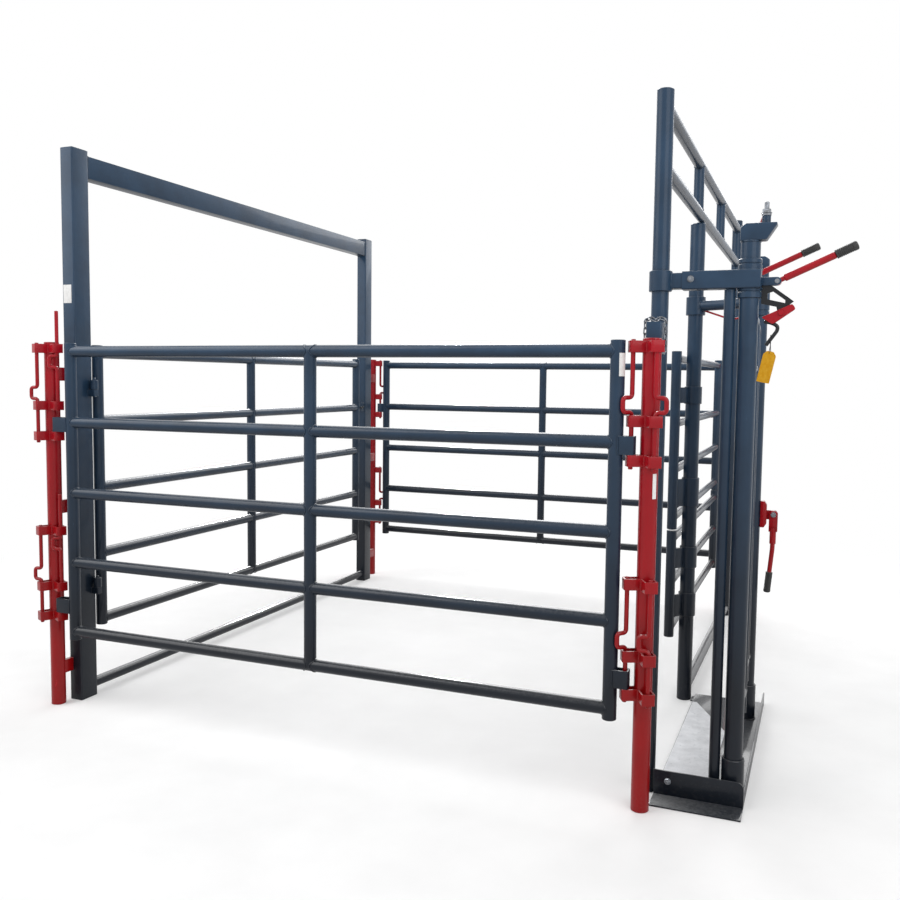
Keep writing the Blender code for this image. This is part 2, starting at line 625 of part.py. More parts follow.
def hanging_lever():
    """A short lever that hangs from a bracket on the far door's post."""
    y = DOOR_Y[1]
    edge = FAR_X + DOOR_R + GAP
    x, z = edge + 0.0547, DROP_Z
    plate = [(edge, z - 0.058), (edge + 0.016, z - 0.058), (edge + 0.026, z - 0.042)]
    plate += [(edge + 0.026, z + 0.042), (edge + 0.016, z + 0.058), (edge, z + 0.058)]
    pieces = [prism(plate, -0.016, 0.016, xz_frame(y))]
    pieces.append(box((edge + 0.020, y - 0.0060, z - 0.022), (x + 0.012, y + 0.0060, z + 0.022)))
    bolt_r = 0.006
    seat = [tube((x, y - 0.03, z), (x, y + 0.03, z), bolt_r + GAP, 10)]
    weld("drop_bracket", pieces, "red", cuts=seat)
    bolt = [tube((x, y - 0.0190, z), (x, y + 0.0190, z), bolt_r, 10)]
    bolt.append(tube((x, y - 0.0230, z), (x, y - 0.0125, z), 0.011, 6))
    bolt.append(tube((x, y + 0.0125, z), (x, y + 0.0210, z), 0.011, 6))
    weld("drop_bolt", bolt, "zinc")
    arms = [box((x - 0.018, y + low, z - 0.075), (x + 0.018, y + low + 0.0057, z + 0.018)) for low in (-0.0120, 0.0063)]
    arms.append(box((x - 0.018, y - 0.0120, z - 0.075), (x + 0.018, y + 0.0120, z - 0.050)))
    arms.append(tube((x, y, z - 0.060), (x, y, z - 0.130), 0.0135, 12))
    arms.append(swept([(x, y, z - 0.120), (x, y, z - 0.150), (x - 0.016, y, z - 0.335)], 0.0100, 10))
    eye = [tube((x, y - 0.05, z), (x, y + 0.05, z), bore(bolt_r, 10), 10)]
    weld("drop_lever", arms, "red", (x, y, z), eye)
    lean = Vector((-0.016, 0, -0.185)).normalized()
    foot = Vector((x - 0.016, y, z - 0.335))
    grip = tube(foot - lean * 0.080, foot + lean * 0.012, 0.0150, 12)
    hollow = tube(foot - lean * 0.1, foot + lean * 0.0003, 0.0106 + GAP, 12)
    weld("drop_lever_grip", [grip], "black", (x, y, z), [hollow])


def corner_stub():
    """The square stub between the near right post and the tall post, and the chain over it."""
    low = (TALL_X - 0.021, NEAR_Y + RED_R + GAP, 1.600)
    high = (TALL_X + 0.029, TALL_NEAR_Y - TALL_R - GAP, 1.710)
    weld("corner_stub", [box(low, high, 0.004)], "paint")
    y, top = -0.040, 1.710
    left, right = low[0] - 0.0100, high[0] + 0.0100
    points = [(left, y, top - 0.080 + 0.020 * i) for i in range(5)]
    points += [(left + 0.004, y, top + 0.0095), (left + 0.019, y, top + 0.0148)]
    points += [(left + 0.036, y, top + 0.0048), (right - 0.019, y, top + 0.0148)]
    points += [(right - 0.004, y, top + 0.0095)]
    points += [(right, y, top - 0.020 * i) for i in range(6)]
    chain("corner_chain", points, "zinc", 0.0025, wide=0.0060)


def base():
    """The tray under the headgate, its light floor plate and its two door sockets."""
    x0, x1 = TALL_X + TALL_R + GAP, DOOR_X + 0.045
    face_y, flange_y, far = TALL_NEAR_Y - 0.033, TALL_NEAR_Y - 0.132, POST2[1] + 0.070
    tray = [box((x0, face_y, 0.0), (x1, far, TRAY_WALL))]
    tray.append(box((x0, face_y, 0.0), (x1, face_y + TRAY_WALL, 0.096)))
    tray.append(box((x0, flange_y, 0.0), (x1, face_y + 0.004, TRAY_WALL)))
    tray.append(box((x1 - TRAY_WALL, face_y, 0.0), (x1, far, 0.055)))
    post_x = POST2[0] + POST2_R + GAP
    tray.append(box((post_x, POST2[1] - 0.030, 0.0), (x0 + 0.02, POST2[1] + 0.030, TRAY_WALL)))
    cuts = []
    for x, y in zip((DOOR_X, FAR_X), DOOR_Y):
        tray.append(upright(x, y, 0.003, SOCKET_TOP, SOCKET_R, 16))
        cuts.append(upright(x, y, 0.020, SOCKET_TOP + 0.1, bore(DOOR_R, 16), 16))
    weld("base_tray", tray, "paint", cuts=cuts)
    bx, face, bz = x0 + 0.050, face_y - GAP, 0.058
    weld("base_bolt", [
        tube((bx, face, bz), (bx, face - 0.0087, bz), 0.011, 6),
        tube((bx, face - 0.0047, bz), (bx, face - 0.0137, bz), 0.005, 8),
    ], "zinc")
    edge, near = x0 + 0.003, face_y + TRAY_WALL + 0.004
    plate = [(edge, near), (DOOR_X - SOCKET_R - 0.046, near), (DOOR_X - SOCKET_R - 0.046, 0.740)]
    plate += [(edge + 0.020, POST2[1] - 0.060), (edge, POST2[1] - 0.060)]
    weld("floor_plate", [prism(plate, TRAY_WALL + GAP, TRAY_WALL + 0.004)], "plate")


def pens_posts():
    gap_near = -BOW_Y / 2 - GAP
    far_face = BOW_SPAN + BOW_Y / 2 + GAP
    tall_near = TALL_NEAR_Y - TALL_R - GAP
    tall_far = TALL_FAR_Y + TALL_R + GAP
    stay_z = ((0.140, 0.200), (0.880, 0.940), (1.480, 1.540))
    near_left = [((-0.034, NEAR_Y + 0.008, a), (-0.012, gap_near, b)) for a, b in stay_z]
    back_left = [((-0.034, far_face, a), (-0.012, BACK_Y - 0.008, b)) for a, b in stay_z]
    near_right = [((TALL_X - 0.010, NEAR_Y + 0.008, a), (TALL_X + 0.015, tall_near, b)) for a, b in stay_z]
    back_right = [((TALL_X - 0.010, tall_far, a), (TALL_X + 0.015, BACK_Y - 0.008, b)) for a, b in stay_z]
    s = STATION_ANGLE
    posts = {
        "near_left": (LEFT_X, NEAR_Y, (-s, -s - 90), near_left, (200, 200, 180, 180), True),
        "near_right": (RIGHT_X, NEAR_Y, (s - 180, s - 90), near_right, (225, 225, 0, 180), False),
        "back_left": (LEFT_X, BACK_Y, (s, s + 90), back_left, (45, 45, 180, 180), False),
        "back_right": (RIGHT_X, BACK_Y, (180 - s, 90 - s), back_right, (20, 20, 0, 0), True),
    }
    for name, (x, y, angles, stays, bulges, latch) in posts.items():
        corner_post("corner_post_" + name, x, y, angles, stays)
        for i, angle in enumerate(angles):
            for j, drop in enumerate((0.0, SET_DROP)):
                pin = f"pin_{name}_{'ab'[i]}_{('upper', 'lower')[j]}"
                drop_pin(pin, x, y, angle, drop, bulges[2 * i + j], latch and i == 0)


def gates():
    right = RIGHT_PIN_X - PIN_TO_STILE
    panel("gate_front", FRONT_Y, LEFT_PIN_X + 0.0764, right, (RIGHT_PIN_X, FRONT_Y, 0))
    left = LEFT_PIN_X + PIN_TO_STILE
    panel("gate_back", REAR_Y, left, right, (LEFT_PIN_X, REAR_Y, 0))


clear_scene()
PARTS = collection("calving_pen")
FINISHES = {
    "paint": material("paint", (0.028, 0.040, 0.055), 0.0, 0.42),
    "red": material("red", (0.52, 0.020, 0.035), 0.0, 0.40),
    "black": material("black", (0.012, 0.012, 0.013), 0.0, 0.65),
    "zinc": material("zinc", (0.55, 0.56, 0.58), 0.9, 0.35),
    "yellow": material("yellow", (0.85, 0.60, 0.02), 0.0, 0.5),
    "plate": material("plate", (0.42, 0.43, 0.43), 0.2, 0.6),
}
bow_frame()
pens_posts()
gates()
left_gate()
right_wall()
side_gates()
headgate()
latch_gear()
hanging_lever()
corner_stub()
base()
for spare in FINISHES.values():
    bpy.data.materials.remove(spare)
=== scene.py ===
"""Calving pen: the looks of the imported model.

Round tubes, bent straps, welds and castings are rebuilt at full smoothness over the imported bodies,
and each surface gets a procedural finish. Metres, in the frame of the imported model.
"""

import logging
import math
from dataclasses import dataclass
from enum import Enum
from typing import Any, Iterable, Optional, Sequence, Union

import bmesh
import bpy
from mathutils import Matrix, Vector

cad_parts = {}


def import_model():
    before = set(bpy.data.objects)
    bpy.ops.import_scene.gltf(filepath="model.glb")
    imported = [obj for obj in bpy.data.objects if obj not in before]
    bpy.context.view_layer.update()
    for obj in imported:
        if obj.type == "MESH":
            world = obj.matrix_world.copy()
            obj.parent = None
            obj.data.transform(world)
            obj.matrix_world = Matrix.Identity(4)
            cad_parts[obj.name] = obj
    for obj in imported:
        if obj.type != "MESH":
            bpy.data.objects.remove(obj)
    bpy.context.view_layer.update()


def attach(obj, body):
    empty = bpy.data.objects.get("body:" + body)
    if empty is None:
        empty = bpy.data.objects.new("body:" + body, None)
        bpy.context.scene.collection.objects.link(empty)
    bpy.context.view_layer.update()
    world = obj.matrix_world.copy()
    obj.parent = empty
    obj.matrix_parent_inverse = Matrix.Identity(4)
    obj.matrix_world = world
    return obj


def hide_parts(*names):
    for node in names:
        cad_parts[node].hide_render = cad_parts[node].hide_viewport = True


LOG = logging.getLogger("calving_pen")
WHITE = (1.0, 1.0, 1.0)
UP = Vector((0.0, 0.0, 1.0))
SHARP_EDGE = 0.6
STRAP_SEAM = 0.0243
Point = Sequence[float]
Colour = tuple[float, float, float]
Value = Union["Socket", float]
Out = bpy.types.NodeSocket
Owner = Union[bpy.types.Material, bpy.types.World]


class Noise(Enum):
    """The textures that the finishes use."""

    CLOUD = "ShaderNodeTexNoise"
    CELLS = "ShaderNodeTexVoronoi"


class Socket:
    """A shader value whose operators add Math nodes."""

    def __init__(self, tree: bpy.types.NodeTree, source: Out) -> None:
        """Wraps one output socket.

        Args:
            tree: The tree that the socket is in.
            source: The output socket.
        """
        self.tree = tree
        self.source = source

    def math(self, operation: str, *values: Value, clamp: bool = False) -> "Socket":
        """Adds one Math node.

        Args:
            operation: Blender's name for the operation.
            values: The node's inputs in order, each a socket or a number.
            clamp: Whether the result is held between 0 and 1.

        Returns:
            The node's result.
        """
        made = self.tree.nodes.new("ShaderNodeMath")
        made.operation = operation
        made.use_clamp = clamp
        for place, value in zip(made.inputs, values):
            if isinstance(value, Socket):
                self.tree.links.new(value.source, place)
            else:
                place.default_value = value
        return Socket(self.tree, made.outputs[0])

    def __add__(self, other: Value) -> "Socket":
        """self + other."""
        return self.math("ADD", self, other)

    def __radd__(self, other: float) -> "Socket":
        """other + self."""
        return self.math("ADD", other, self)

    def __sub__(self, other: Value) -> "Socket":
        """self - other."""
        return self.math("SUBTRACT", self, other)

    def __rsub__(self, other: float) -> "Socket":
        """other - self."""
        return self.math("SUBTRACT", other, self)

    def __mul__(self, other: Value) -> "Socket":
        """self * other."""
        return self.math("MULTIPLY", self, other)

    def __rmul__(self, other: float) -> "Socket":
        """other * self."""
        return self.math("MULTIPLY", other, self)

    def step(self, low: float, high: float) -> "Socket":
        """A straight ramp from 0 at low to 1 at high, held there."""
        slope = 1.0 / (high - low)
        return self.math("MULTIPLY_ADD", self, slope, -low * slope, clamp=True)


class Bench:
    """The node tree of a material or a world, and the few ways that the looks add to it."""

    def __init__(self, owner: Owner, shader: str = "Principled BSDF") -> None:
        """Takes the owner's tree.

        Args:
            owner: The material or world.
            shader: The name of its shader node.
        """
        owner.use_nodes = True
        self.tree = owner.node_tree
        self.shader = self.tree.nodes[shader]

    def node(self, kind: str, settings: dict[str, Any], inputs: dict[Union[int, str], Any]) -> bpy.types.Node:
        """Adds any node but a Math node.

        Args:
            kind: Blender's type name.
            settings: Attributes that are set before the inputs.
            inputs: Values or sockets by the input's name or number.

        Returns:
            The node.
        """
        made = self.tree.nodes.new(kind)
        for key, value in settings.items():
            setattr(made, key, value)
        for key, value in inputs.items():
            self.feed(made.inputs[key], value)
        return made

    def feed(self, place: Out, value: Any) -> None:
        """Sets or links one input.

        Args:
            place: The input.
            value: A number, a tuple, a Socket or an output socket.
        """
        if isinstance(value, Socket):
            self.tree.links.new(value.source, place)
        elif isinstance(value, bpy.types.NodeSocket):
            self.tree.links.new(value, place)
        elif isinstance(value, tuple) and len(value) == 3 and len(place.default_value) == 4:
            place.default_value = (*value, 1.0)
        else:
            place.default_value = value

    def surface(self, **inputs: Any) -> None:
        """Sets or links the shader's inputs by name."""
        for key, value in inputs.items():
            self.feed(self.shader.inputs[key.replace("_", " ")], value)

    def place(self) -> Out:
        """The point on the piece, in metres."""
        return self.node("ShaderNodeTexCoord", {}, {}).outputs["Object"]

    def axes(self, vector: Out) -> tuple[Socket, Socket, Socket]:
        """A vector's X, Y and Z."""
        made = self.node("ShaderNodeSeparateXYZ", {}, {0: vector})
        return tuple(Socket(self.tree, made.outputs[i]) for i in range(3))

    def up(self) -> Socket:
        """How far the surface faces up, from -1 to 1."""
        made = self.node("ShaderNodeNewGeometry", {}, {})
        return self.axes(made.outputs["Normal"])[2]

    def cloud(self, place: Out, scale: float, detail: float = 4.0, rough: float = 0.55) -> Socket:
        """Fractal noise.

        Args:
            place: Where it is read.
            scale: Waves a metre.
            detail: Octaves.
            rough: How strong the finer ones are.

        Returns:
            The noise, about 0.3 to 0.7.
        """
        wanted = {"Vector": place, "Scale": scale, "Detail": detail, "Roughness": rough}
        return Socket(self.tree, self.node(Noise.CLOUD.value, {}, wanted).outputs[0])

    def stretched(self, place: Out, scale: Point) -> Out:
        """The place, scaled along each axis, for streaks."""
        return self.node("ShaderNodeMapping", {}, {"Vector": place, "Scale": Vector(scale)}).outputs[0]

    def mix(self, factor: Value, first: Any, second: Any) -> Out:
        """Mixes two colours, the first at factor 0 and the second at 1."""
        return self.node("ShaderNodeMix", {"data_type": "RGBA"}, {0: factor, 6: first, 7: second}).outputs[2]

    def glow(self, factor: Socket) -> None:
        """Mixes plain white light over the surface.

        Args:
            factor: Where the white shows.
        """
        white = self.node("ShaderNodeEmission", {}, {"Color": WHITE, "Strength": 1.0})
        shaders = {0: factor, 1: self.shader.outputs[0], 2: white.outputs[0]}
        mixed = self.node("ShaderNodeMixShader", {}, shaders)
        out = next(n for n in self.tree.nodes if n.type == "OUTPUT_MATERIAL")
        self.feed(out.inputs["Surface"], mixed.outputs[0])

    def bump(self, height: Socket, depth: float) -> None:
        """Feeds the shader's normal from a height, whose 1 is depth metres."""
        made = self.node("ShaderNodeBump", {}, {"Height": height, "Strength": 1.0, "Distance": depth})
        self.surface(Normal=made.outputs[0])

    def seen(self) -> Socket:
        """Tells the rays of the camera, of mirrors and of glass from the rest.

        Returns:
            One for those rays, and nothing for the rest.
        """
        path = self.node("ShaderNodeLightPath", {}, {})
        names = ("Camera", "Glossy", "Transmission")
        camera, mirror, glass = (Socket(self.tree, path.outputs[f"Is {name} Ray"]) for name in names)
        return (camera + mirror + glass).step(0.0, 1.0)


class Finish:
    """What every finish shares: its material is made here, and dressed by the finish itself."""

    def build(self, name: str) -> bpy.types.Material:
        """Makes the material.

        Args:
            name: The material's name.

        Returns:
            The material.
        """
        material = bpy.data.materials.new(name)
        bench = Bench(material)
        self.dress(bench, bench.place())
        return material

    def dress(self, bench: Bench, place: Out) -> None:
        """Feeds the shader, in each finish's own way."""
        raise NotImplementedError


@dataclass(frozen=True)
class Paint(Finish):
    """Sprayed gloss enamel with painted shade on its lower faces, darker towards the bottom, with dust on its
    upper faces and small scuffs.
    """

    colour: Colour
    # The colour of the painted shade on faces that look down, and of the paint towards the bottom.
    low: Colour
    dust: Colour = (0.30, 0.31, 0.32)
    gloss: float = 0.30
    soil: float = 0.14
    mud: Colour = (0.12, 0.115, 0.105)
    blend_span: tuple[float, float] = (0.40, 1.75)

    def dress(self, bench: Bench, place: Out) -> None:
        """Layers the painted shade, the darkening towards the bottom, scuffs, dust and mud, and feeds the
        shader.

        Args:
            bench: The material's tree.
            place: The point on the piece.
        """
        _, _, height = bench.axes(place)
        broad = bench.cloud(place, 5.0, 3.0)
        fine = bench.cloud(place, 95.0, 5.0, 0.65)
        up = bench.up()
        # Painted shade: faces that look down are painted darker, towards the low colour, and the colour also
        # darkens towards the bottom.
        lighter = height.step(*self.blend_span) * (0.25 + 0.75 * up.step(-0.85, 0.15))
        colour = bench.mix(lighter, self.low, self.colour)
        colour = bench.mix(broad.step(0.35, 0.65) * 0.3, colour, tuple(0.5 * c for c in self.low))
        scuff = bench.cloud(bench.stretched(place, (60.0, 60.0, 14.0)), 1.0, 6.0, 0.75).step(0.68, 0.72)
        colour = bench.mix(scuff * 0.35, colour, tuple(min(1.0, c * 2.2 + 0.03) for c in self.colour))
        settled = up.step(0.25, 0.95) * fine.step(0.38, 0.72) * (0.08 + 0.18 * broad)
        colour = bench.mix(settled, colour, self.dust)
        splash = (1.0 - height.step(0.0, self.soil)) * bench.cloud(place, 90.0, 6.0, 0.7).step(0.52, 0.68)
        colour = bench.mix(splash * 0.15, colour, self.mud)
        rough = self.gloss + 0.14 * fine + 0.3 * settled + 0.25 * splash
        shine = 0.20 + 0.60 * up.step(0.20, 0.90)
        bench.surface(Base_Color=colour, Roughness=rough, Metallic=0.0, Specular_IOR_Level=0.18,
                      Coat_Weight=shine, Coat_Roughness=0.08)
        peel = bench.cloud(place, 420.0, 2.0) * 0.5 + scuff * 0.5 + bench.cloud(place, 30.0, 2.0) * 0.8
        bench.bump(peel, 0.0006)


@dataclass(frozen=True)
class Zinc(Finish):
    """Plated steel: a faint spangle, and duller in patches."""

    colour: Colour = (0.27, 0.29, 0.32)
    tarnish: Colour = (0.12, 0.12, 0.12)

    def dress(self, bench: Bench, place: Out) -> None:
        """Spreads the spangle and the tarnish, and feeds the shader.

        Args:
            bench: The material's tree.
            place: The point on the piece.
        """
        flecks = bench.node(Noise.CELLS.value, {}, {"Vector": place, "Scale": 420.0})
        grain = Socket(bench.tree, flecks.outputs["Distance"])
        dull = bench.cloud(place, 60.0, 5.0).step(0.42, 0.66)
        colour = bench.mix(dull * 0.7, self.colour, self.tarnish)
        bench.surface(Base_Color=colour, Metallic=0.85, Roughness=0.28 + 0.18 * grain + 0.2 * dull)
        bench.bump(grain * 0.5 + bench.cloud(place, 500.0, 2.0) * 0.5, 0.0003)


@dataclass(frozen=True)
class Clouded(Finish):
    """A dull material, such as rubber or paper, under soft patches of dust or grime."""

    colour: Colour
    dirt: Colour
    patches: float
    spread: tuple[float, float]
    rough: tuple[float, float]
    grain: tuple[float, float]
    depth: float

    def dress(self, bench: Bench, place: Out) -> None:
        """Spreads the dirt over the colour, and feeds the shader.

        Args:
            bench: The material's tree.
            place: The point on the piece.
        """
        dirty = bench.cloud(place, self.patches, 5.0).step(*self.spread)
        colour = bench.mix(dirty * 0.5, self.colour, self.dirt)
        bench.surface(Base_Color=colour, Metallic=0.0, Roughness=self.rough[0] + self.rough[1] * dirty)
        bench.bump(bench.cloud(place, *self.grain), self.depth)


@dataclass(frozen=True)
class Plastic(Finish):
    """A yellow tag's sheet plastic, a little faded and creased."""

    colour: Colour = (0.52, 0.25, 0.006)
    lighter: Colour = (0.58, 0.31, 0.02)

    def dress(self, bench: Bench, place: Out) -> None:
        """Fades the plastic along its creases, and feeds the shader.

        Args:
            bench: The material's tree.
            place: The point on the piece.
        """
        crease = bench.cloud(place, 70.0, 4.0)
        colour = bench.mix(crease.step(0.4, 0.7), self.colour, self.lighter)
        bench.surface(Base_Color=colour, Metallic=0.0, Roughness=0.42 + 0.2 * crease, Specular_IOR_Level=0.12)
        bench.bump(crease, 0.0015)


@dataclass(frozen=True)
class SunlitDust(Finish):
    """A painted floor plate made pale by painted sunlight and by dust, with paler patches, dark flecks and
    fine scratches.
    """

    colour: Colour = (0.46, 0.47, 0.49)
    paler: Colour = (0.62, 0.63, 0.65)
    under: Colour = (0.07, 0.09, 0.11)
    scratched: Colour = (0.62, 0.61, 0.60)

    def dress(self, bench: Bench, place: Out) -> None:
        """Spreads paler patches, dark flecks and scratches over the plate, and feeds the shader.

        Args:
            bench: The material's tree.
            place: The point on the piece.
        """
        broad = bench.cloud(place, 14.0, 6.0, 0.65)
        scratch = bench.cloud(bench.stretched(place, (320.0, 22.0, 30.0)), 1.0, 5.0, 0.7).step(0.60, 0.68)
        # Painted sunlight and dust: the plate's pale colour stands partly for sun falling on the tray floor
        # and partly for dust.
        colour = bench.mix(broad.step(0.35, 0.65), self.colour, self.paler)
        colour = bench.mix(bench.cloud(place, 55.0, 6.0, 0.7).step(0.60, 0.72) * 0.6, colour, self.under)
        colour = bench.mix(scratch * 0.35, colour, self.scratched)
        bench.surface(Base_Color=colour, Roughness=0.62 + 0.2 * broad, Metallic=0.1)
        bench.bump(broad + scratch * 0.3 + bench.cloud(place, 300.0, 3.0) * 0.3, 0.0008)


class Look(Enum):
    """The finishes that a piece can have."""

    SLATE = "slate_enamel"
    CRIMSON = "crimson_enamel"
    BLACK = "black_enamel"
    ZINC = "zinc_plate"
    RUBBER = "black_rubber"
    TAG = "yellow_plastic"
    WORN = "worn_plate"
    PAPER = "blank_paper"


class Shape:
    """A mesh in the making, to which bars, plates and weld beads are added."""

    def __init__(self) -> None:
        """Starts with nothing."""
        self.bm = bmesh.new()

    def skin(self, rings: Iterable[Iterable[Point]], closed: bool) -> "Shape":
        """Joins rings of points into a closed skin.

        Args:
            rings: Rings with the same number of points.
            closed: Whether the last ring meets the first, with no end faces.

        Returns:
            The shape.
        """
        made = [[self.bm.verts.new(point) for point in ring] for ring in rings]
        pairs = list(zip(made, made[1:]))
        if closed:
            pairs.append((made[-1], made[0]))
        else:
            self.bm.faces.new(made[0][::-1])
            self.bm.faces.new(made[-1])
        for one, two in pairs:
            for k, corner in enumerate(one):
                m = (k + 1) % len(one)
                self.bm.faces.new((corner, one[m], two[m], two[k]))
        return self

    def lathe(self, profile: Sequence[Point], frame: Matrix, sides: int = 32,
              closed: bool = False) -> "Shape":
        """Turns a profile round the frame's Z.

        Args:
            profile: Radius and height of each ring.
            frame: Where the axis stands.
            sides: Points a ring.
            closed: Whether the profile is a loop, as a sleeve's is.

        Returns:
            The shape.
        """
        rings = [[frame @ Vector((u, v, z)) for u, v in circle(r, sides)] for r, z in profile]
        return self.skin(rings, closed)

    def bar(self, start: Point, end: Point, radius: float, sides: int = 28, ease: float = 0.0012) -> "Shape":
        """A round bar whose ends are eased.

        Args:
            start: The middle of one end.
            end: The middle of the other.
            radius: Its radius.
            sides: Points round it.
            ease: The chamfer at each end.

        Returns:
            The shape.
        """
        frame, length = stand(start, end)
        profile = [(radius - ease, 0.0), (radius, ease), (radius, length - ease), (radius - ease, length)]
        return self.lathe(profile, frame, sides)

    def collar(self, start: Point, end: Point, outer: float, inner: float, ease: float = 0.0015) -> "Shape":
        """A sleeve with its bore.

        Args:
            start: The middle of one end.
            end: The middle of the other.
            outer: The outer radius.
            inner: The bore's radius.
            ease: The chamfer at each rim.

        Returns:
            The shape.
        """
        frame, length = stand(start, end)
        out = [(inner, 0.0), (outer - ease, 0.0), (outer, ease), (outer, length - ease)]
        return self.lathe(out + [(outer - ease, length), (inner, length)], frame, 36, True)

    def bolt(self, seat: Point, tip: Point, radius: float, turn: float = 0.0, shank: float = 0.0) -> "Shape":
        """A washer and a hexagon head, with a thread's end past it if asked.

        Args:
            seat: Where the washer lies.
            tip: The top of the head.
            radius: Half the head's width over its corners.
            turn: Degrees that the head is turned.
            shank: How far the thread stands past the head.

        Returns:
            The shape.
        """
        a, b = Vector(seat), Vector(tip)
        up = (b - a).normalized()
        thick = min(0.0016, (b - a).length * 0.25)
        self.bar(a, a + up * thick, radius * 1.12, 24, 0.0003)
        frame, length = stand(a + up * thick, b)
        frame = frame @ Matrix.Rotation(math.radians(turn), 4, "Z")
        self.lathe([(radius, 0.0), (radius, length * 0.82), (radius * 0.88, length)], frame, 6)
        if shank:
            self.bar(a, b + up * shank, radius * 0.52, 16, 0.0008)
        return self

    def rod(self, path: Iterable[Point], radius: float, sides: int = 16, closed: bool = False,
            ease: float = 0.0) -> "Shape":
        """A bent rod.

        Args:
            path: Its middle line.
            radius: Its radius.
            sides: Points round it.
            closed: Whether it is a ring.
            ease: The chamfer at its ends.

        Returns:
            The shape.
        """
        points = [Vector(p) for p in path]
        if ease:
            points.insert(1, points[0] + (points[1] - points[0]).normalized() * ease)
            points.insert(-1, points[-1] + (points[-2] - points[-1]).normalized() * ease)
        last = len(points) - 1
        side: Optional[Vector] = None
        rings = []
        for i, point in enumerate(points):
            before = points[i - 1] if i or closed else point
            after = points[(i + 1) % (last + 1)] if i < last or closed else point
            along = (after - before).normalized()
            side = (side or along.orthogonal()).normalized()
            side = (side - along * side.dot(along)).normalized()
            other = along.cross(side)
            size = radius - ease if i in (0, last) else radius
            rings.append([point + side * u + other * v for u, v in circle(size, sides)])
        return self.skin(rings, closed)

    def seams(self, frame: Matrix, spots: Iterable[Point], low: float, high: float, size: float) -> None:
        """Upright weld beads.

        Args:
            frame: The frame of the spots.
            spots: Each bead's X and Y there.
            low: Their feet.
            high: Their tops.
            size: Their radius.
        """
        for u, v in spots:
            self.rod([frame @ Vector((u, v, z)) for z in (low, high)], size, 8)

    def plate(self, outline: Sequence[Point], low: float, high: float, frame: Matrix,
              ease: float = 0.0008) -> "Shape":
        """A flat bar or plate cut to an outline, its edges eased.

        Args:
            outline: The outline in the frame's X and Y.
            low: The bottom along the frame's Z.
            high: The top.
            frame: Where the outline lies.
            ease: The width of the eased edges.

        Returns:
            The shape.
        """
        cut = Shape().skin([[(u, v, z) for u, v in outline] for z in (low, high)], False)
        bmesh.ops.recalc_face_normals(cut.bm, faces=cut.bm.faces)
        return self._take(cut.bm, ease, frame)

    def block(self, low: Point, high: Point, corner: float = 0.0, ease: float = 0.001) -> "Shape":
        """A square bar or box section with rounded upright corners.

        Args:
            low: Its lowest corner.
            high: Its highest corner.
            corner: The radius of the upright corners.
            ease: The width of the other eased edges.

        Returns:
            The shape.
        """
        made = bmesh.new()
        bmesh.ops.create_cube(made, size=1.0)
        a, b = Vector(low), Vector(high)
        for vert in made.verts:
            vert.co = (a + b) / 2 + Vector(c * s for c, s in zip(vert.co, b - a))
        if corner:
            posts = [e for e in made.edges if abs((e.verts[0].co - e.verts[1].co).normalized().z) > 0.9]
            bmesh.ops.bevel(made, geom=posts, offset=corner, segments=5, affect="EDGES", profile=0.5)
        return self._take(made, ease, Matrix())

    def _take(self, made: bmesh.types.BMesh, ease: float, frame: Matrix) -> "Shape":
        """Adds another mesh in the making, and frees it.

        Args:
            made: The other mesh.
            ease: The width of the edges that are eased.
            frame: Where it goes.

        Returns:
            The shape.
        """
        if ease:
            sharp = [e for e in made.edges if e.calc_face_angle() > SHARP_EDGE]
            bmesh.ops.bevel(made, geom=sharp, offset=ease, segments=2, affect="EDGES", profile=0.6)
        bmesh.ops.transform(made, matrix=frame, verts=made.verts)
        mesh = bpy.data.meshes.new("taken")
        made.to_mesh(mesh)
        made.free()
        self.bm.from_mesh(mesh)
        bpy.data.meshes.remove(mesh)
        return self

    def saddle(self, centre: Point, along: Point, tube: float, post: float, size: float = 0.0032,
               aside: float = 0.0, square: bool = False) -> "Shape":
        """The weld bead where a level tube meets an upright one.

        Args:
            centre: Where the two middle lines meet.
            along: The way that the level tube runs from there.
            tube: The level tube's radius.
            post: The upright's radius.
            size: The bead's radius.
            aside: How far the tube's middle line passes beside the post's.
            square: Whether the level tube is square, its radius then being half its side.

        Returns:
            The shape.
        """
        middle, way = Vector(centre), Vector(along).normalized()
        across = way.cross(UP)
        path = []
        for v, w in circle(1.0, 28):
            if square:
                v, w = (max(-1.0, min(1.0, 1.36 * part)) for part in (v, w))
            v, w = tube * v, tube * w
            deep = math.sqrt(max(0.0, post * post - (v + aside) ** 2))
            path.append(middle + across * v + UP * w + way * deep)
        return self.rod(path, size, 8, True)

    def ring(self, centre: Point, axis: Point, radius: float, size: float) -> "Shape":
        """A round weld bead or a ring.

        Args:
            centre: Its middle.
            axis: The way it faces.
            radius: Its radius.
            size: The radius of the bead.

        Returns:
            The shape.
        """
        frame, _ = stand(centre, Vector(centre) + Vector(axis))
        return self.rod([frame @ Vector((u, v, 0.0)) for u, v in circle(radius, 32)], size, 8, True)

    def finish(self, name: str, sharp: float = 34.0) -> bpy.types.Object:
        """Turns the mesh into an object that is smooth between its sharp edges.

        Args:
            name: The object's name.
            sharp: The least angle of a sharp edge, in degrees.

        Returns:
            The object.
        """
        bmesh.ops.recalc_face_normals(self.bm, faces=self.bm.faces)
        mesh = bpy.data.meshes.new(name)
        self.bm.to_mesh(mesh)
        self.bm.free()
        mesh.polygons.foreach_set("use_smooth", [True] * len(mesh.polygons))
        mesh.set_sharp_from_angle(angle=math.radians(sharp))
        return linked(name, mesh)


def linked(name: str, data: Any) -> bpy.types.Object:
    """Puts a mesh, lamp or camera into the scene.

    Args:
        name: The object's name.
        data: What it shows.

    Returns:
        The object.
    """
    made = bpy.data.objects.new(name, data)
    bpy.context.scene.collection.objects.link(made)
    return made


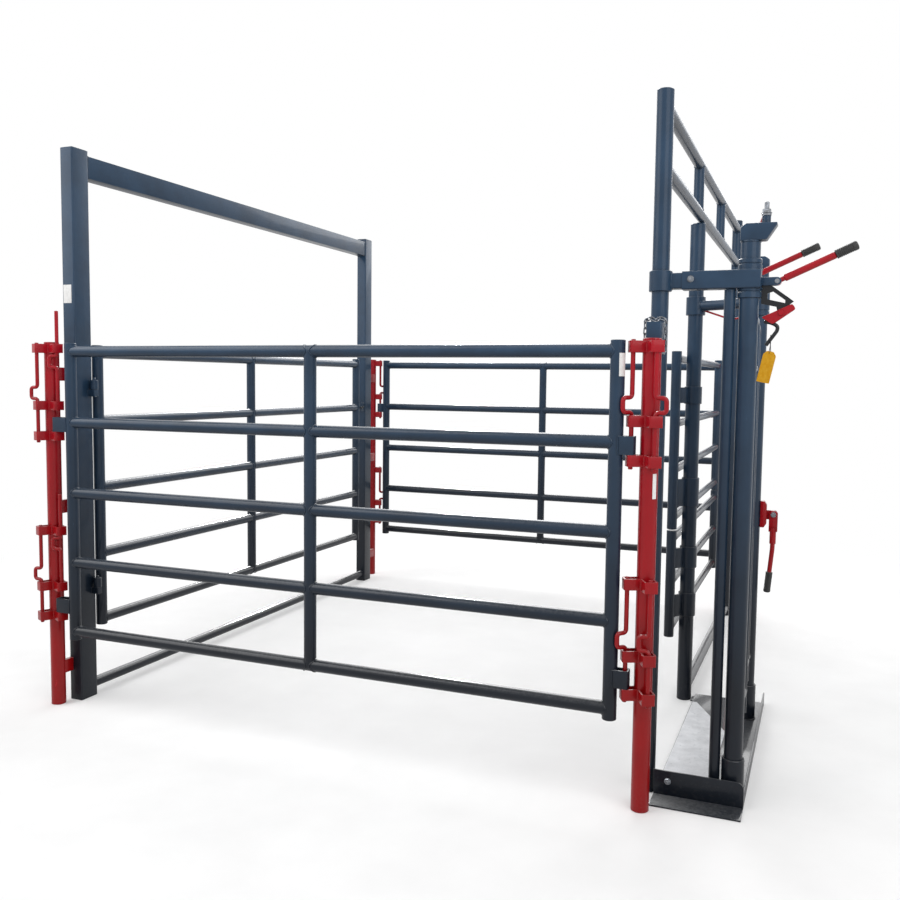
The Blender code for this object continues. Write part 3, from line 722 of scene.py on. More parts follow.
def arc(middle: Point, radius: float, first: float, last: float, steps: int) -> list[tuple[float, float]]:
    """Points on an arc.

    Args:
        middle: The arc's middle.
        radius: Its radius.
        first: Where it starts, in degrees.
        last: Where it ends.
        steps: How many steps lie between.

    Returns:
        The points, with both ends.
    """
    turns = [math.radians(first + (last - first) * k / steps) for k in range(steps + 1)]
    return [(middle[0] + radius * math.cos(t), middle[1] + radius * math.sin(t)) for t in turns]


def circle(radius: float, count: int) -> list[tuple[float, float]]:
    """A number of points on a circle round the origin."""
    return arc((0.0, 0.0), radius, 0.0, 360.0, count)[:-1]


def stand(start: Point, end: Point) -> tuple[Matrix, float]:
    """A frame at start whose Z points to end.

    Args:
        start: The frame's place.
        end: What its Z points to.

    Returns:
        The frame and the length between the two.
    """
    a, b = Vector(start), Vector(end)
    turned = (b - a).to_track_quat("Z", "Y").to_matrix().to_4x4()
    return Matrix.Translation(a) @ turned, (b - a).length


def station(x: float, y: float, angle: float) -> Matrix:
    """A frame on the ground at x, y, turned by angle degrees."""
    return Matrix.Translation((x, y, 0.0)) @ Matrix.Rotation(math.radians(angle), 4, "Z")


def toward(start: Point, end: Point) -> tuple[Matrix, float]:
    """A frame on the ground at start whose X points to end, and the distance between the two."""
    away = Vector(end) - Vector(start)
    return station(*start, math.degrees(math.atan2(away.y, away.x))), away.length


def oblong(start: float, end: float, half: float) -> list[Point]:
    """The corners of a flat bar along X."""
    return [(start, -half), (end, -half), (end, half), (start, half)]


def facing(y: float) -> Matrix:
    """A frame whose X and Y are the world's X and Z, at y."""
    return Matrix(((1, 0, 0, 0), (0, 0, 1, y), (0, 1, 0, 0), (0, 0, 0, 1)))


def end_on(y: float, z: float) -> Matrix:
    """A frame at y, z whose X, Y and Z are the world's Y, Z and X."""
    return Matrix(((0, 0, 1, 0), (1, 0, 0, y), (0, 1, 0, z), (0, 0, 0, 1)))


def eased(points: Sequence[Point], radius: float, steps: int = 5) -> list[Vector]:
    """Rounds the corners of a line.

    Args:
        points: The line's corners.
        radius: How far from a corner the curve starts.
        steps: Points a corner.

    Returns:
        The rounded line.
    """
    line = [Vector(p) for p in points]
    made = [line[0]]
    for before, corner, after in zip(line, line[1:], line[2:]):
        reach = min(radius, (corner - before).length * 0.48, (after - corner).length * 0.48)
        one = corner + (before - corner).normalized() * reach
        two = corner + (after - corner).normalized() * reach
        for k in range(steps + 1):
            t = k / steps
            made.append(one * (1 - t) ** 2 + corner * 2 * t * (1 - t) + two * t * t)
    return made + [line[-1]]


def rounded_loop(corners: Sequence[Point], radius: float) -> list[tuple[float, float]]:
    """Rounds the corners of a closed outline.

    Args:
        corners: The outline.
        radius: How far from a corner the curve starts.

    Returns:
        The rounded outline.
    """
    flat = [Vector((p[0], p[1], 0.0)) for p in corners]
    first = (flat[-1] + flat[0]) / 2
    return [(p.x, p.y) for p in eased([first] + flat + [first], radius, 4)[:-1]]


def strap(start: float, reach: float, half: float = 0.023, wall: float = 0.006) -> list[Point]:
    """A bent flat bar seen from above: two legs and a rounded bend.

    Args:
        start: Where the legs start.
        reach: The outside of the bend.
        half: Half the outside width.
        wall: The bar's thickness.

    Returns:
        The outline.
    """
    bend, side = reach - wall, half - wall
    outer = arc((bend, -side), wall, -90, 0, 6) + arc((bend, side), wall, 0, 90, 6)
    inner = [(start, side), (bend, side), (bend, -side), (start, -side)]
    return [(start, -half)] + outer + [(start, half)] + inner


def strap_seams(start: float) -> list[Point]:
    """Where the two weld beads run beside a strap's legs."""
    return [(start, -STRAP_SEAM), (start, STRAP_SEAM)]


def holed(outline: Sequence[Point], middle: Point, radius: float) -> list[Point]:
    """An outline with a round hole, joined to its first corner by a hair's slit.

    Args:
        outline: The outer corners, counter-clockwise.
        middle: The hole's middle.
        radius: The hole's radius.

    Returns:
        One line that runs round both.
    """
    slit, hair = math.degrees(0.004), 0.00004
    u, v = outline[0]
    away = math.atan2(v - middle[1], u - middle[0])
    turn = math.degrees(away)
    du, dv = -math.sin(away) * hair, math.cos(away) * hair
    hole = arc(middle, radius, turn - slit, turn + slit - 360.0, 24)
    return [(u + du, v + dv)] + list(outline[1:]) + [(u - du, v - dv)] + hole


def round_end(low: Point, middle: Point, radius: float) -> list[Point]:
    """A cheek's outline: a square foot at low and a round end about middle.

    Args:
        low: The foot's low corner, in X and Z.
        middle: The cross pin's X and Z.
        radius: The end's radius.

    Returns:
        The outline.
    """
    bend = arc(middle, radius, -90, 90, 8)
    skipped = 1 if low[1] > middle[1] - radius else 0
    return [(low[0], low[1]), (middle[0], low[1])] + bend[skipped:] + [(low[0], middle[1] + radius)]


def grip_line(radius: float, length: float) -> list[Point]:
    """The profile of a ribbed rubber grip with a domed end.

    Args:
        radius: Its radius over the ribs.
        length: Its length.

    Returns:
        Radius and height of each ring.
    """
    pitch, groove = 0.0060, radius - 0.0012
    line = [(radius - 0.0030, 0.0), (radius, 0.0012), (radius, pitch)]
    for k in range(int((length - 0.020) / pitch)):
        low = 0.0068 + pitch * k
        line += [(groove, low), (groove, low + 0.0020), (radius, low + 0.0028), (radius, low + 0.0052)]
    dome = [(0.0, 0.0060), (0.0018, 0.0022), (0.0060, 0.0004)]
    line += [(radius - inward, length - short) for inward, short in dome]
    return line + [(0.0010, length)]


@dataclass(frozen=True)
class Corner:
    """One red corner post: its place, the way its straps face and the way its pins' handles bulge."""

    name: str
    x: float
    y: float
    faces: tuple[float, float]
    bulges: tuple[float, float, float, float]
    raised: bool
    stay: tuple[float, float, float, float]


@dataclass(frozen=True)
class Plan:
    """Where the pen's pieces stand and the sizes that several of them share, in metres."""

    left_x: float = -0.042
    right_x: float = 2.627
    near_y: float = -0.113
    back_y: float = 3.040
    tall_x: float = 2.620
    tall_near: float = 0.060
    tall_far: float = 2.868
    tall_top: float = 2.524
    post_two: tuple[float, float] = (2.605, 1.130)
    doors: tuple[Point, Point] = ((2.920, 0.090), (2.898, 0.970))
    span: float = 2.830
    pin_reach: float = 0.0647
    lean: float = 25.0
    rails: tuple[float, ...] = (1.609, 1.2965, 0.984, 0.6715, 0.359)
    rail_r: float = 0.02415
    stile_r: float = 0.0254
    gate_z: tuple[float, float] = (0.320, 1.646)
    set_drop: float = 0.815
    lug_top: float = 1.2548
    sleeve_r: float = 0.040
    left_hinge: tuple[float, float] = (0.060, 0.035)
    left_hinge_z: tuple[float, float] = (0.520, 1.440)
    keeper_z: float = 1.300
    door_bore: float = 0.0339
    gap: float = 0.0003

    @property
    def pin_x(self) -> tuple[float, float]:
        """The gates' pins, left and right."""
        across = self.pin_reach * math.cos(math.radians(self.lean))
        return self.left_x + across, self.right_x - across

    @property
    def gate_y(self) -> tuple[float, float]:
        """The middle planes of the front and back gates."""
        away = self.pin_reach * math.sin(math.radians(self.lean))
        return self.near_y - away, self.back_y + away

    def corners(self) -> list[Corner]:
        """The four red posts.

        Returns:
            One Corner each.
        """
        s, bite = self.lean, 0.008
        near, far = -0.0503, self.span + 0.0503
        tall_near, tall_far = self.tall_near - 0.0305, self.tall_far + 0.0305
        left, right = (-0.034, -0.012), (self.tall_x - 0.010, self.tall_x + 0.015)
        return [
            Corner("near_left", self.left_x, self.near_y, (-s, -s - 90), (200, 200, 180, 180), True,
                   (*left, self.near_y + bite, near)),
            Corner("near_right", self.right_x, self.near_y, (s - 180, s - 90), (225, 225, 0, 180), False,
                   (*right, self.near_y + bite, tall_near)),
            Corner("back_left", self.left_x, self.back_y, (s, s + 90), (45, 45, 180, 180), False,
                   (*left, far, self.back_y - bite)),
            Corner("back_right", self.right_x, self.back_y, (180 - s, 90 - s), (20, 20, 0, 0), True,
                   (*right, tall_far, self.back_y - bite)),
        ]


class Paints:
    """The finishes by look, each built once."""

    def __init__(self) -> None:
        """Picks the finish of each look."""
        self.finishes: dict[Look, Finish] = {
            # The second colour of each enamel is its painted shade on faces that look down, and its colour
            # towards the bottom.
            Look.SLATE: Paint((0.025, 0.060, 0.114), (0.006, 0.009, 0.015)),
            Look.CRIMSON: Paint((0.41, 0.004, 0.015), (0.26, 0.001, 0.002), (0.42, 0.16, 0.16), 0.26),
            Look.BLACK: Paint((0.016, 0.018, 0.021), (0.008, 0.009, 0.011)),
            Look.ZINC: Zinc(),
            Look.RUBBER: Clouded((0.016, 0.016, 0.017), (0.06, 0.058, 0.055), 45.0, (0.45, 0.75),
                                 (0.48, 0.22), (900.0, 3.0), 0.0005),
            Look.TAG: Plastic(),
            Look.WORN: SunlitDust(),
            Look.PAPER: Clouded((0.80, 0.80, 0.79), (0.56, 0.55, 0.53), 60.0, (0.48, 0.72),
                                (0.55, 0.15), (600.0, 2.0), 0.0002),
        }
        self.made: dict[Look, bpy.types.Material] = {}

    def of(self, look: Look) -> bpy.types.Material:
        """The material of a look, made when it is first asked for.

        Args:
            look: Which look.

        Returns:
            The material.
        """
        if look not in self.made:
            self.made[look] = self.finishes[look].build(look.value)
        return self.made[look]


@dataclass
class Assembly:
    """What each sub-assembly shares: the plan, the paints and the way that a piece is set down."""

    plan: Plan
    paints: Paints

    def put(self, name: str, shape: Shape, look: Look, body: str, *nodes: str, slot: str = "") -> None:
        """Finishes a piece, paints it and sets it on its body.

        Args:
            name: The piece's name.
            shape: Its mesh in the making.
            look: Its finish.
            body: The body that carries it.
            nodes: The solids that it stands for.
            slot: The material slot, where it stands for none. Not used.
        """
        piece = shape.finish(name)
        piece.data.materials.append(self.paints.of(look))
        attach(piece, body)
        if nodes:
            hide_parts(*nodes)
        LOG.info("%s: %d faces in %s on %s", name, len(piece.data.polygons), look.value, body)


@dataclass(frozen=True)
class Lattice:
    """The welded tubes of a gate: two stiles, its rails and, in a wide one, a middle post."""

    base: Point
    along: Point
    stiles: tuple[float, float]
    ends: tuple[float, float]
    rails: Sequence[float]
    stile_r: float
    rail_r: float
    middle: Optional[float] = None
    rail_sides: int = 32
    ease: float = 0.0016
    bead: float = 0.0032

    def at(self, t: float, z: float) -> Vector:
        """The point t along the gate, at height z."""
        return Vector(self.base) + Vector(self.along) * t + UP * z

    def weld(self) -> Shape:
        """Builds the tubes and the beads where they meet.

        Returns:
            The shape.
        """
        shape, way = Shape(), Vector(self.along)
        first, last = self.stiles
        joints = [(first, 1), (last, -1)]
        for t in self.stiles:
            shape.bar(self.at(t, self.ends[0]), self.at(t, self.ends[1]), self.stile_r, 32, self.ease)
        if self.middle is not None:
            low, high = self.at(self.middle, self.rails[-1]), self.at(self.middle, self.rails[0])
            shape.bar(low, high, self.stile_r * 0.98, 32)
            joints += [(self.middle, -1), (self.middle, 1)]
        for z in self.rails:
            shape.bar(self.at(first, z), self.at(last, z), self.rail_r, self.rail_sides)
            for t, side in joints:
                shape.saddle(self.at(t, z), way * side, self.rail_r, self.stile_r, self.bead)
        return shape


@dataclass
class BowFrame(Assembly):
    """The tall bow on the left: two square posts, a beam between their tops and a round sill."""

    depth: float = 0.070
    width: float = 0.100
    top: float = 2.520
    lid: float = 0.004
    beam: tuple[float, float, float] = (0.065, 2.398, 2.498)
    sill_z: float = 0.050
    sill_r: float = 0.024
    label: tuple[Point, Point] = ((-0.028, -0.0506, 1.830), (0.018, -0.0500, 1.912))

    def build(self) -> None:
        """Builds the four pieces, their welds and the label."""
        self.put("bow_near_post", self._near_post(), Look.SLATE, "frame", "bow_post_near")
        self.put("bow_far_post", self._far_post(), Look.SLATE, "frame", "bow_post_far")
        start = self.width / 2 + self.plan.gap
        end = self.plan.span - start
        half, low, high = self.beam[0] / 2, self.beam[1], self.beam[2]
        beam = Shape().block((-half, start, low), (half, end, high), 0.0, 0.004)
        for y in (start + 0.0022, end - 0.0022):
            line = [(-half, y, low), (half, y, low), (half, y, high), (-half, y, high)]
            beam.rod(eased(line + line[:1], 0.006)[:-1], 0.0026, 8, True)
        self.put("bow_beam", beam, Look.SLATE, "frame", "bow_top_rail")
        sill = Shape().bar((0, start, self.sill_z), (0, end, self.sill_z), self.sill_r, 32)
        for y in (start + 0.002, end - 0.002):
            sill.ring((0, y, self.sill_z), (0, 1, 0), self.sill_r + 0.001, 0.0026)
        self.put("bow_round_sill", sill, Look.SLATE, "frame", "bow_sill")
        label = Shape().block(*self.label, 0.0, 0.0001)
        self.put("bow_blank_label", label, Look.PAPER, "frame", slot="bow_post_near")

    def _post(self, y: float) -> Shape:
        """A square post with rounded corners and a welded lid.

        Args:
            y: Its middle.

        Returns:
            The shape.
        """
        x, w, lid, top = self.depth / 2, self.width / 2, self.lid, self.top
        shape = Shape().block((-x, y - w, 0), (x, y + w, top - 0.001), 0.007)
        low, high = (lid - x, y - w + lid, top - 0.002), (x - lid, y + w - lid, top + 0.001)
        return shape.block(low, high, 0.004, 0.0008)

    def _near_post(self) -> Shape:
        """The near post with the two pintles that the left gate turns on.

        Returns:
            The shape.
        """
        shape = self._post(0.0)
        hx, hy = self.plan.left_hinge
        profile = [(0.008, 0.0), (0.008, 0.058), (0.0066, 0.0625), (0.0034, 0.0648)]
        for z in self.plan.left_hinge_z:
            shape.block((0.034, hy - 0.015, z - 0.030), (hx + 0.014, hy + 0.013, z), 0.003)
            shape.lathe(profile, Matrix.Translation((hx, hy, z - 0.010)), 24)
            shape.ring((hx, hy, z - 0.0315), (0, 0, 1), 0.0085, 0.0018)
            shape.seams(Matrix(), [(0.036, hy - 0.015), (0.036, hy + 0.013)], z - 0.030, z, 0.0024)
        return shape

    def _far_post(self) -> Shape:
        """The far post with the slotted keeper plate for the left gate's chain.

        Returns:
            The shape.
        """
        shape = self._post(self.plan.span)
        low, z = self.plan.span - self.width / 2, self.plan.keeper_z
        v0, v1, z0, z1 = low - 0.040, low + 0.002, z - 0.030, z + 0.030
        outline = [(v0, z0), (v1, z0), (v1, z1), (v0, z1)]
        shape.plate(holed(outline, (low - 0.022, z), 0.009), 0.020, 0.028, end_on(0.0, 0.0), 0.0)
        spots = [(x, low - 0.0012) for x in (0.0195, 0.0285)]
        shape.seams(Matrix(), spots, z - 0.029, z + 0.029, 0.0022)
        return shape


@dataclass
class CornerPosts(Assembly):
    """The red posts at the four corners, with their straps, stand-offs and drop pins."""

    radius: float = 0.03175
    top: float = 1.652
    guide: float = 1.643
    clevis: tuple[float, float] = (1.390, 1.2545)
    tall: float = 0.040
    reach: float = 0.079
    pin_r: float = 0.008
    loop: tuple[float, float] = (0.036, 0.052)
    lift: float = 0.140
    stays: tuple[tuple[float, float], ...] = ((0.140, 0.200), (0.880, 0.940), (1.480, 1.540))
    label: tuple[Point, Point] = ((1.106, 1.192), (-54.0, -26.0))

    def build(self) -> None:
        """Builds the posts, their pins and the label."""
        for corner in self.plan.corners():
            self._post(corner)
            for i, face in enumerate(corner.faces):
                for j, drop in enumerate((0.0, self.plan.set_drop)):
                    node = f"pin_{corner.name}_{'ab'[i]}_{('upper', 'lower')[j]}"
                    lift = self.lift if corner.raised and i == 0 else 0.0
                    self._pin(node, corner, face, lift - drop, corner.bulges[2 * i + j])
        label = curved_label((self.plan.right_x, self.plan.near_y), self.radius, *self.label)
        self.put("post_blank_label", label, Look.PAPER, "frame", slot="corner_post_near_right")

    def _post(self, corner: Corner) -> None:
        """One red post with its straps and stand-offs.

        Args:
            corner: Which post.
        """
        x, y = corner.x, corner.y
        shape = Shape().bar((x, y, 0), (x, y, self.top), self.radius, 44, 0.0018)
        shape.ring((x, y, self.top - 0.0016), (0, 0, 1), self.radius - 0.0022, 0.0016)
        spots = strap_seams(0.0222)
        for face in corner.faces:
            frame = station(x, y, face)
            for drop in (0.0, self.plan.set_drop):
                for edge in (self.guide,) + self.clevis:
                    low, top = edge - drop - self.tall, edge - drop
                    shape.plate(strap(0.018, self.reach), low, top, frame, 0.0010)
                    shape.seams(frame, spots, low + 0.001, top - 0.001, 0.0028)
        x0, x1, y0, y1 = corner.stay
        for low, high in self.stays:
            shape.block((x0, y0, low), (x1, y1, high), 0.0, 0.0015)
        self.put(f"red_post_{corner.name}", shape, Look.CRIMSON, "frame", f"corner_post_{corner.name}")

    def _pin(self, node: str, corner: Corner, face: float, rise: float, bulge: float) -> None:
        """One drop pin with its bent handle.

        Args:
            node: The solid that it stands for.
            corner: The post that holds it.
            face: The way that its straps face, in degrees.
            rise: How far it is above an upper pin that is down.
            bulge: The way that its handle bulges, in degrees.
        """
        px, py = arc((corner.x, corner.y), self.plan.pin_reach, face, face, 1)[0]
        bx, by = arc((0.0, 0.0), 1.0, bulge, bulge, 1)[0]
        top, low = self.guide + 0.005 + rise, self.clevis[1] - self.tall - 0.010 + rise
        reach, tall = self.loop
        foot = self.clevis[0] + 0.0103 + rise
        head = foot + tall - 0.002
        line = [(0.0, low), (0.0, foot), (reach, foot), (reach, head), (0.0, head), (0.0, top)]
        path = eased([(px + u * bx, py + u * by, z) for u, z in line], 0.0150, 7)
        self.put(f"{node}_rod", Shape().rod(path, self.pin_r, 20, ease=0.0018), Look.CRIMSON, node, node)


@dataclass
class Panels(Assembly):
    """The front and back gates: five rails, three stiles and the lugs that close round the pins."""

    lug_tall: float = 0.064
    lug_past: float = 0.0143
    middle_in: float = 0.0145
    stile_in: float = 0.052
    stile_in_front: float = 0.0764
    label: tuple[Point, Point] = ((1.522, 1.601), (-66.0, -2.0))

    def build(self) -> None:
        """Builds both gates and the label."""
        left_pin, right_pin = self.plan.pin_x
        front, back = self.plan.gate_y
        right = right_pin - self.stile_in
        self._gate("front_panel", "gate_front", front, (left_pin + self.stile_in_front, right))
        self._gate("back_panel", "gate_back", back, (left_pin + self.stile_in, right))
        label = curved_label((right, front), self.plan.stile_r, *self.label)
        self.put("front_blank_label", label, Look.PAPER, "gate_front", slot="gate_front")

    def _gate(self, name: str, node: str, y: float, stiles: tuple[float, float]) -> None:
        """One gate.

        Args:
            name: The piece's name.
            node: The solid that it stands for.
            y: Its middle plane.
            stiles: Its left and right stile.
        """
        plan = self.plan
        middle = sum(plan.pin_x) / 2 + self.middle_in
        shape = Lattice((0, y, 0), (1, 0, 0), stiles, plan.gate_z, plan.rails, plan.stile_r, plan.rail_r,
                        middle).weld()
        spots = strap_seams(0.0108)
        for drop in (0.0, plan.set_drop):
            low = plan.lug_top - drop
            high = low + self.lug_tall
            for x, pin in zip(stiles, plan.pin_x):
                frame = station(x, y, 0.0 if pin > x else 180.0)
                shape.plate(strap(0.005, abs(pin - x) + self.lug_past), low, high, frame, 0.0010)
                shape.seams(frame, spots, low + 0.001, high - 0.001, 0.0026)
        self.put(name, shape, Look.SLATE, node, node)


def curved_label(centre: Point, radius: float, heights: Point, turns: Point) -> Shape:
    """A blank label stuck round a tube.

    Args:
        centre: The tube's X and Y.
        radius: The tube's radius.
        heights: Its lower and upper edge.
        turns: Its two side edges, in degrees.

    Returns:
        The shape.
    """
    low, high = heights
    inner, outer = (arc(centre, radius + thick, *turns, 14) for thick in (0.0, 0.0006))
    rings = [[(*a, low), (*b, low), (*b, high), (*a, high)] for a, b in zip(inner, outer)]
    return Shape().skin(rings, False)


def chain_links(points: Sequence[Point], wire: float, wide: float) -> Shape:
    """Loose oval links along a line, each turned a quarter from the last.

    Args:
        points: Where each pair of links meets.
        wire: The wire's radius.
        wide: Half a link's width at its wire's middle.

    Returns:
        The shape.
    """
    shape = Shape()
    for i, (a, b) in enumerate(zip(points, points[1:])):
        one, two = Vector(a), Vector(b)
        along = (two - one).normalized()
        across = along.orthogonal().normalized()
        if i % 2:
            across = along.cross(across)
        straight = max(0.0, (two - one).length / 2 + wire - wide)
        middle = (one + two) / 2
        path = [middle + along * (u + math.copysign(straight, u)) + across * v for u, v in circle(wide, 20)]
        shape.rod(path, wire, 10, True)
    return shape


@dataclass
class LeftGate(Assembly):
    """The gate inside the bow, on two pintles, with its keeper's short chain."""

    x: float = 0.030
    stiles: tuple[float, float] = (0.090, 2.645)
    middle: float = 1.330
    bottom: float = 0.330
    eye_r: float = 0.018

    def build(self) -> None:
        """Builds the gate and its chain."""
        plan, x = self.plan, self.x
        first, last = self.stiles
        ends, (hx, hy) = (self.bottom, plan.gate_z[1]), plan.left_hinge
        shape = Lattice((x, 0, 0), (0, 1, 0), self.stiles, ends, plan.rails, plan.stile_r, plan.rail_r,
                        self.middle).weld()
        frame, reach = toward((hx, hy), (x, first))
        web = oblong(0.0165, reach - 0.022, 0.006)
        for z in plan.left_hinge_z:
            shape.collar((hx, hy, z + plan.gap), (hx, hy, z + 0.045), self.eye_r, 0.0086)
            shape.plate(web, z + 0.005, z + 0.040, frame, 0.001)
        tip, z = last + plan.stile_r, plan.keeper_z
        shape.block((x - 0.004, tip - 0.006, z - 0.030), (x + 0.004, tip + 0.030, z + 0.020), 0.0, 0.0012)
        self.put("left_panel", shape, Look.SLATE, "gate_left", "gate_left")
        links = [(x + 0.012, tip + 0.020 + 0.016 * i, z - 0.005) for i in range(4)]
        chain = chain_links(links, 0.0025, 0.0075)
        self.put("left_short_chain", chain, Look.BLACK, "gate_left", "gate_left_chain")


@dataclass
class RightWall(Assembly):
    """The tall posts on the right, their two upper rails, post two and the sill."""

    radius: float = 0.03015
    rail_z: tuple[float, float] = (2.470, 2.260)
    uprights: tuple[float, float] = (1.000, 1.900)
    two_r: float = 0.0335
    two_top: float = 2.22985
    sill_z: float = 0.050
    sill_r: float = 0.024

    def build(self) -> None:
        """Builds the wall's fixed pieces."""
        plan = self.plan
        x, high, low = plan.tall_x, *self.rail_z
        for name, y, way in (("near", plan.tall_near, 1), ("far", plan.tall_far, -1)):
            post = Shape().bar((x, y, 0), (x, y, plan.tall_top), self.radius, 40, 0.002)
            for z in self.rail_z:
                post.saddle((x, y, z), (0, way, 0), plan.rail_r, self.radius, 0.0036)
            post.ring((x, y, plan.tall_top - 0.0018), (0, 0, 1), self.radius - 0.0024, 0.0016)
            self.put(f"tall_{name}_post", post, Look.SLATE, "frame", f"tall_post_{name}")
        rails, bite = Shape(), self.radius - 0.004
        for z in self.rail_z:
            rails.bar((x, plan.tall_near + bite, z), (x, plan.tall_far - bite, z), plan.rail_r, 32)
        for y in self.uprights:
            rails.bar((x, y, low), (x, y, high), plan.rail_r * 0.94, 32)
            for z, way in ((low, 1), (high, -1)):
                self._butt(rails, Vector((x, y, z)), way)
        self.put("upper_rails", rails, Look.SLATE, "frame", "right_upper_rails")
        px, py = plan.post_two
        two = Shape().bar((px, py, 0), (px, py, self.two_top), self.two_r, 40, 0.002)
        two.block((x - 0.020, py - 0.012, self.two_top - 0.015), (x + 0.015, py + 0.012, 2.236), 0.0, 0.0012)
        self.put("second_post", two, Look.SLATE, "frame", "post_two")
        z, r = self.sill_z, self.sill_r
        sill = Shape().bar((px + 0.001, py + self.two_r - 0.002, z), (x, plan.tall_far - 0.029, z), r, 32)
        sill.saddle((px, py, z), (0, 1, 0), r, self.two_r, 0.0034)
        sill.saddle((x, plan.tall_far, z), (0, -1, 0), r, self.radius, 0.0034)
        self.put("round_sill", sill, Look.SLATE, "frame", "right_sill")

    def _butt(self, shape: Shape, centre: Vector, way: int) -> None:
        """The bead where a short upright meets an upper rail.

        Args:
            shape: The rails' mesh.
            centre: Where the middle lines meet.
            way: 1 where the upright goes up from there, -1 where it goes down.
        """
        rail = self.plan.rail_r
        ring = circle(rail * 0.94, 28)
        path = [centre + Vector((u, v, way * math.sqrt(rail * rail - u * u))) for u, v in ring]
        shape.rod(path, 0.0030, 8, True)


@dataclass
class SideGates(Assembly):
    """The split gates on the right, carried by sleeves that turn on post two."""

    x: float = 2.540
    stiles: tuple[float, float] = (1.030, 2.780)
    rail_r: float = 0.0190
    stile_r: float = 0.0225
    bore_r: float = 0.0345
    upper: tuple[float, ...] = (1.613, 1.315, 1.100, 0.877)
    lower: tuple[float, ...] = (0.778, 0.577, 0.359)

    def build(self) -> None:
        """Builds both gates."""
        bottom, top = self.plan.gate_z
        self._gate("upper", self.upper, (0.826, top), ((1.405, 1.485), (0.925, 1.060)))
        self._gate("lower", self.lower, (bottom, 0.820), ((0.635, 0.735), (0.405, 0.515)))

    def _gate(self, which: str, rails: Point, ends: tuple[float, float], sleeves: Sequence[Point]) -> None:
        """One gate.

        Args:
            which: Upper or lower.
            rails: The rails' heights.
            ends: The stiles' feet and tops.
            sleeves: The lower and upper end of each sleeve.
        """
        shape = Lattice((self.x, 0, 0), (0, 1, 0), self.stiles, ends, rails, self.stile_r, self.rail_r,
                        rail_sides=28, ease=0.0015, bead=0.0028).weld()
        px, py = self.plan.post_two
        frame, reach = toward((px, py), (self.x, self.stiles[0]))
        web = oblong(0.0385, reach - 0.019, 0.008)
        for low, high in sleeves:
            shape.collar((px, py, low), (px, py, high), self.plan.sleeve_r, self.bore_r)
            shape.plate(web, low + 0.004, high - 0.004, frame, 0.001)
            shape.seams(frame, [(0.0398, -0.0088), (0.0398, 0.0088)], low + 0.005, high - 0.005, 0.0022)
        node = f"gate_side_{which}"
        self.put(f"{which}_side_panel", shape, Look.SLATE, node, node)


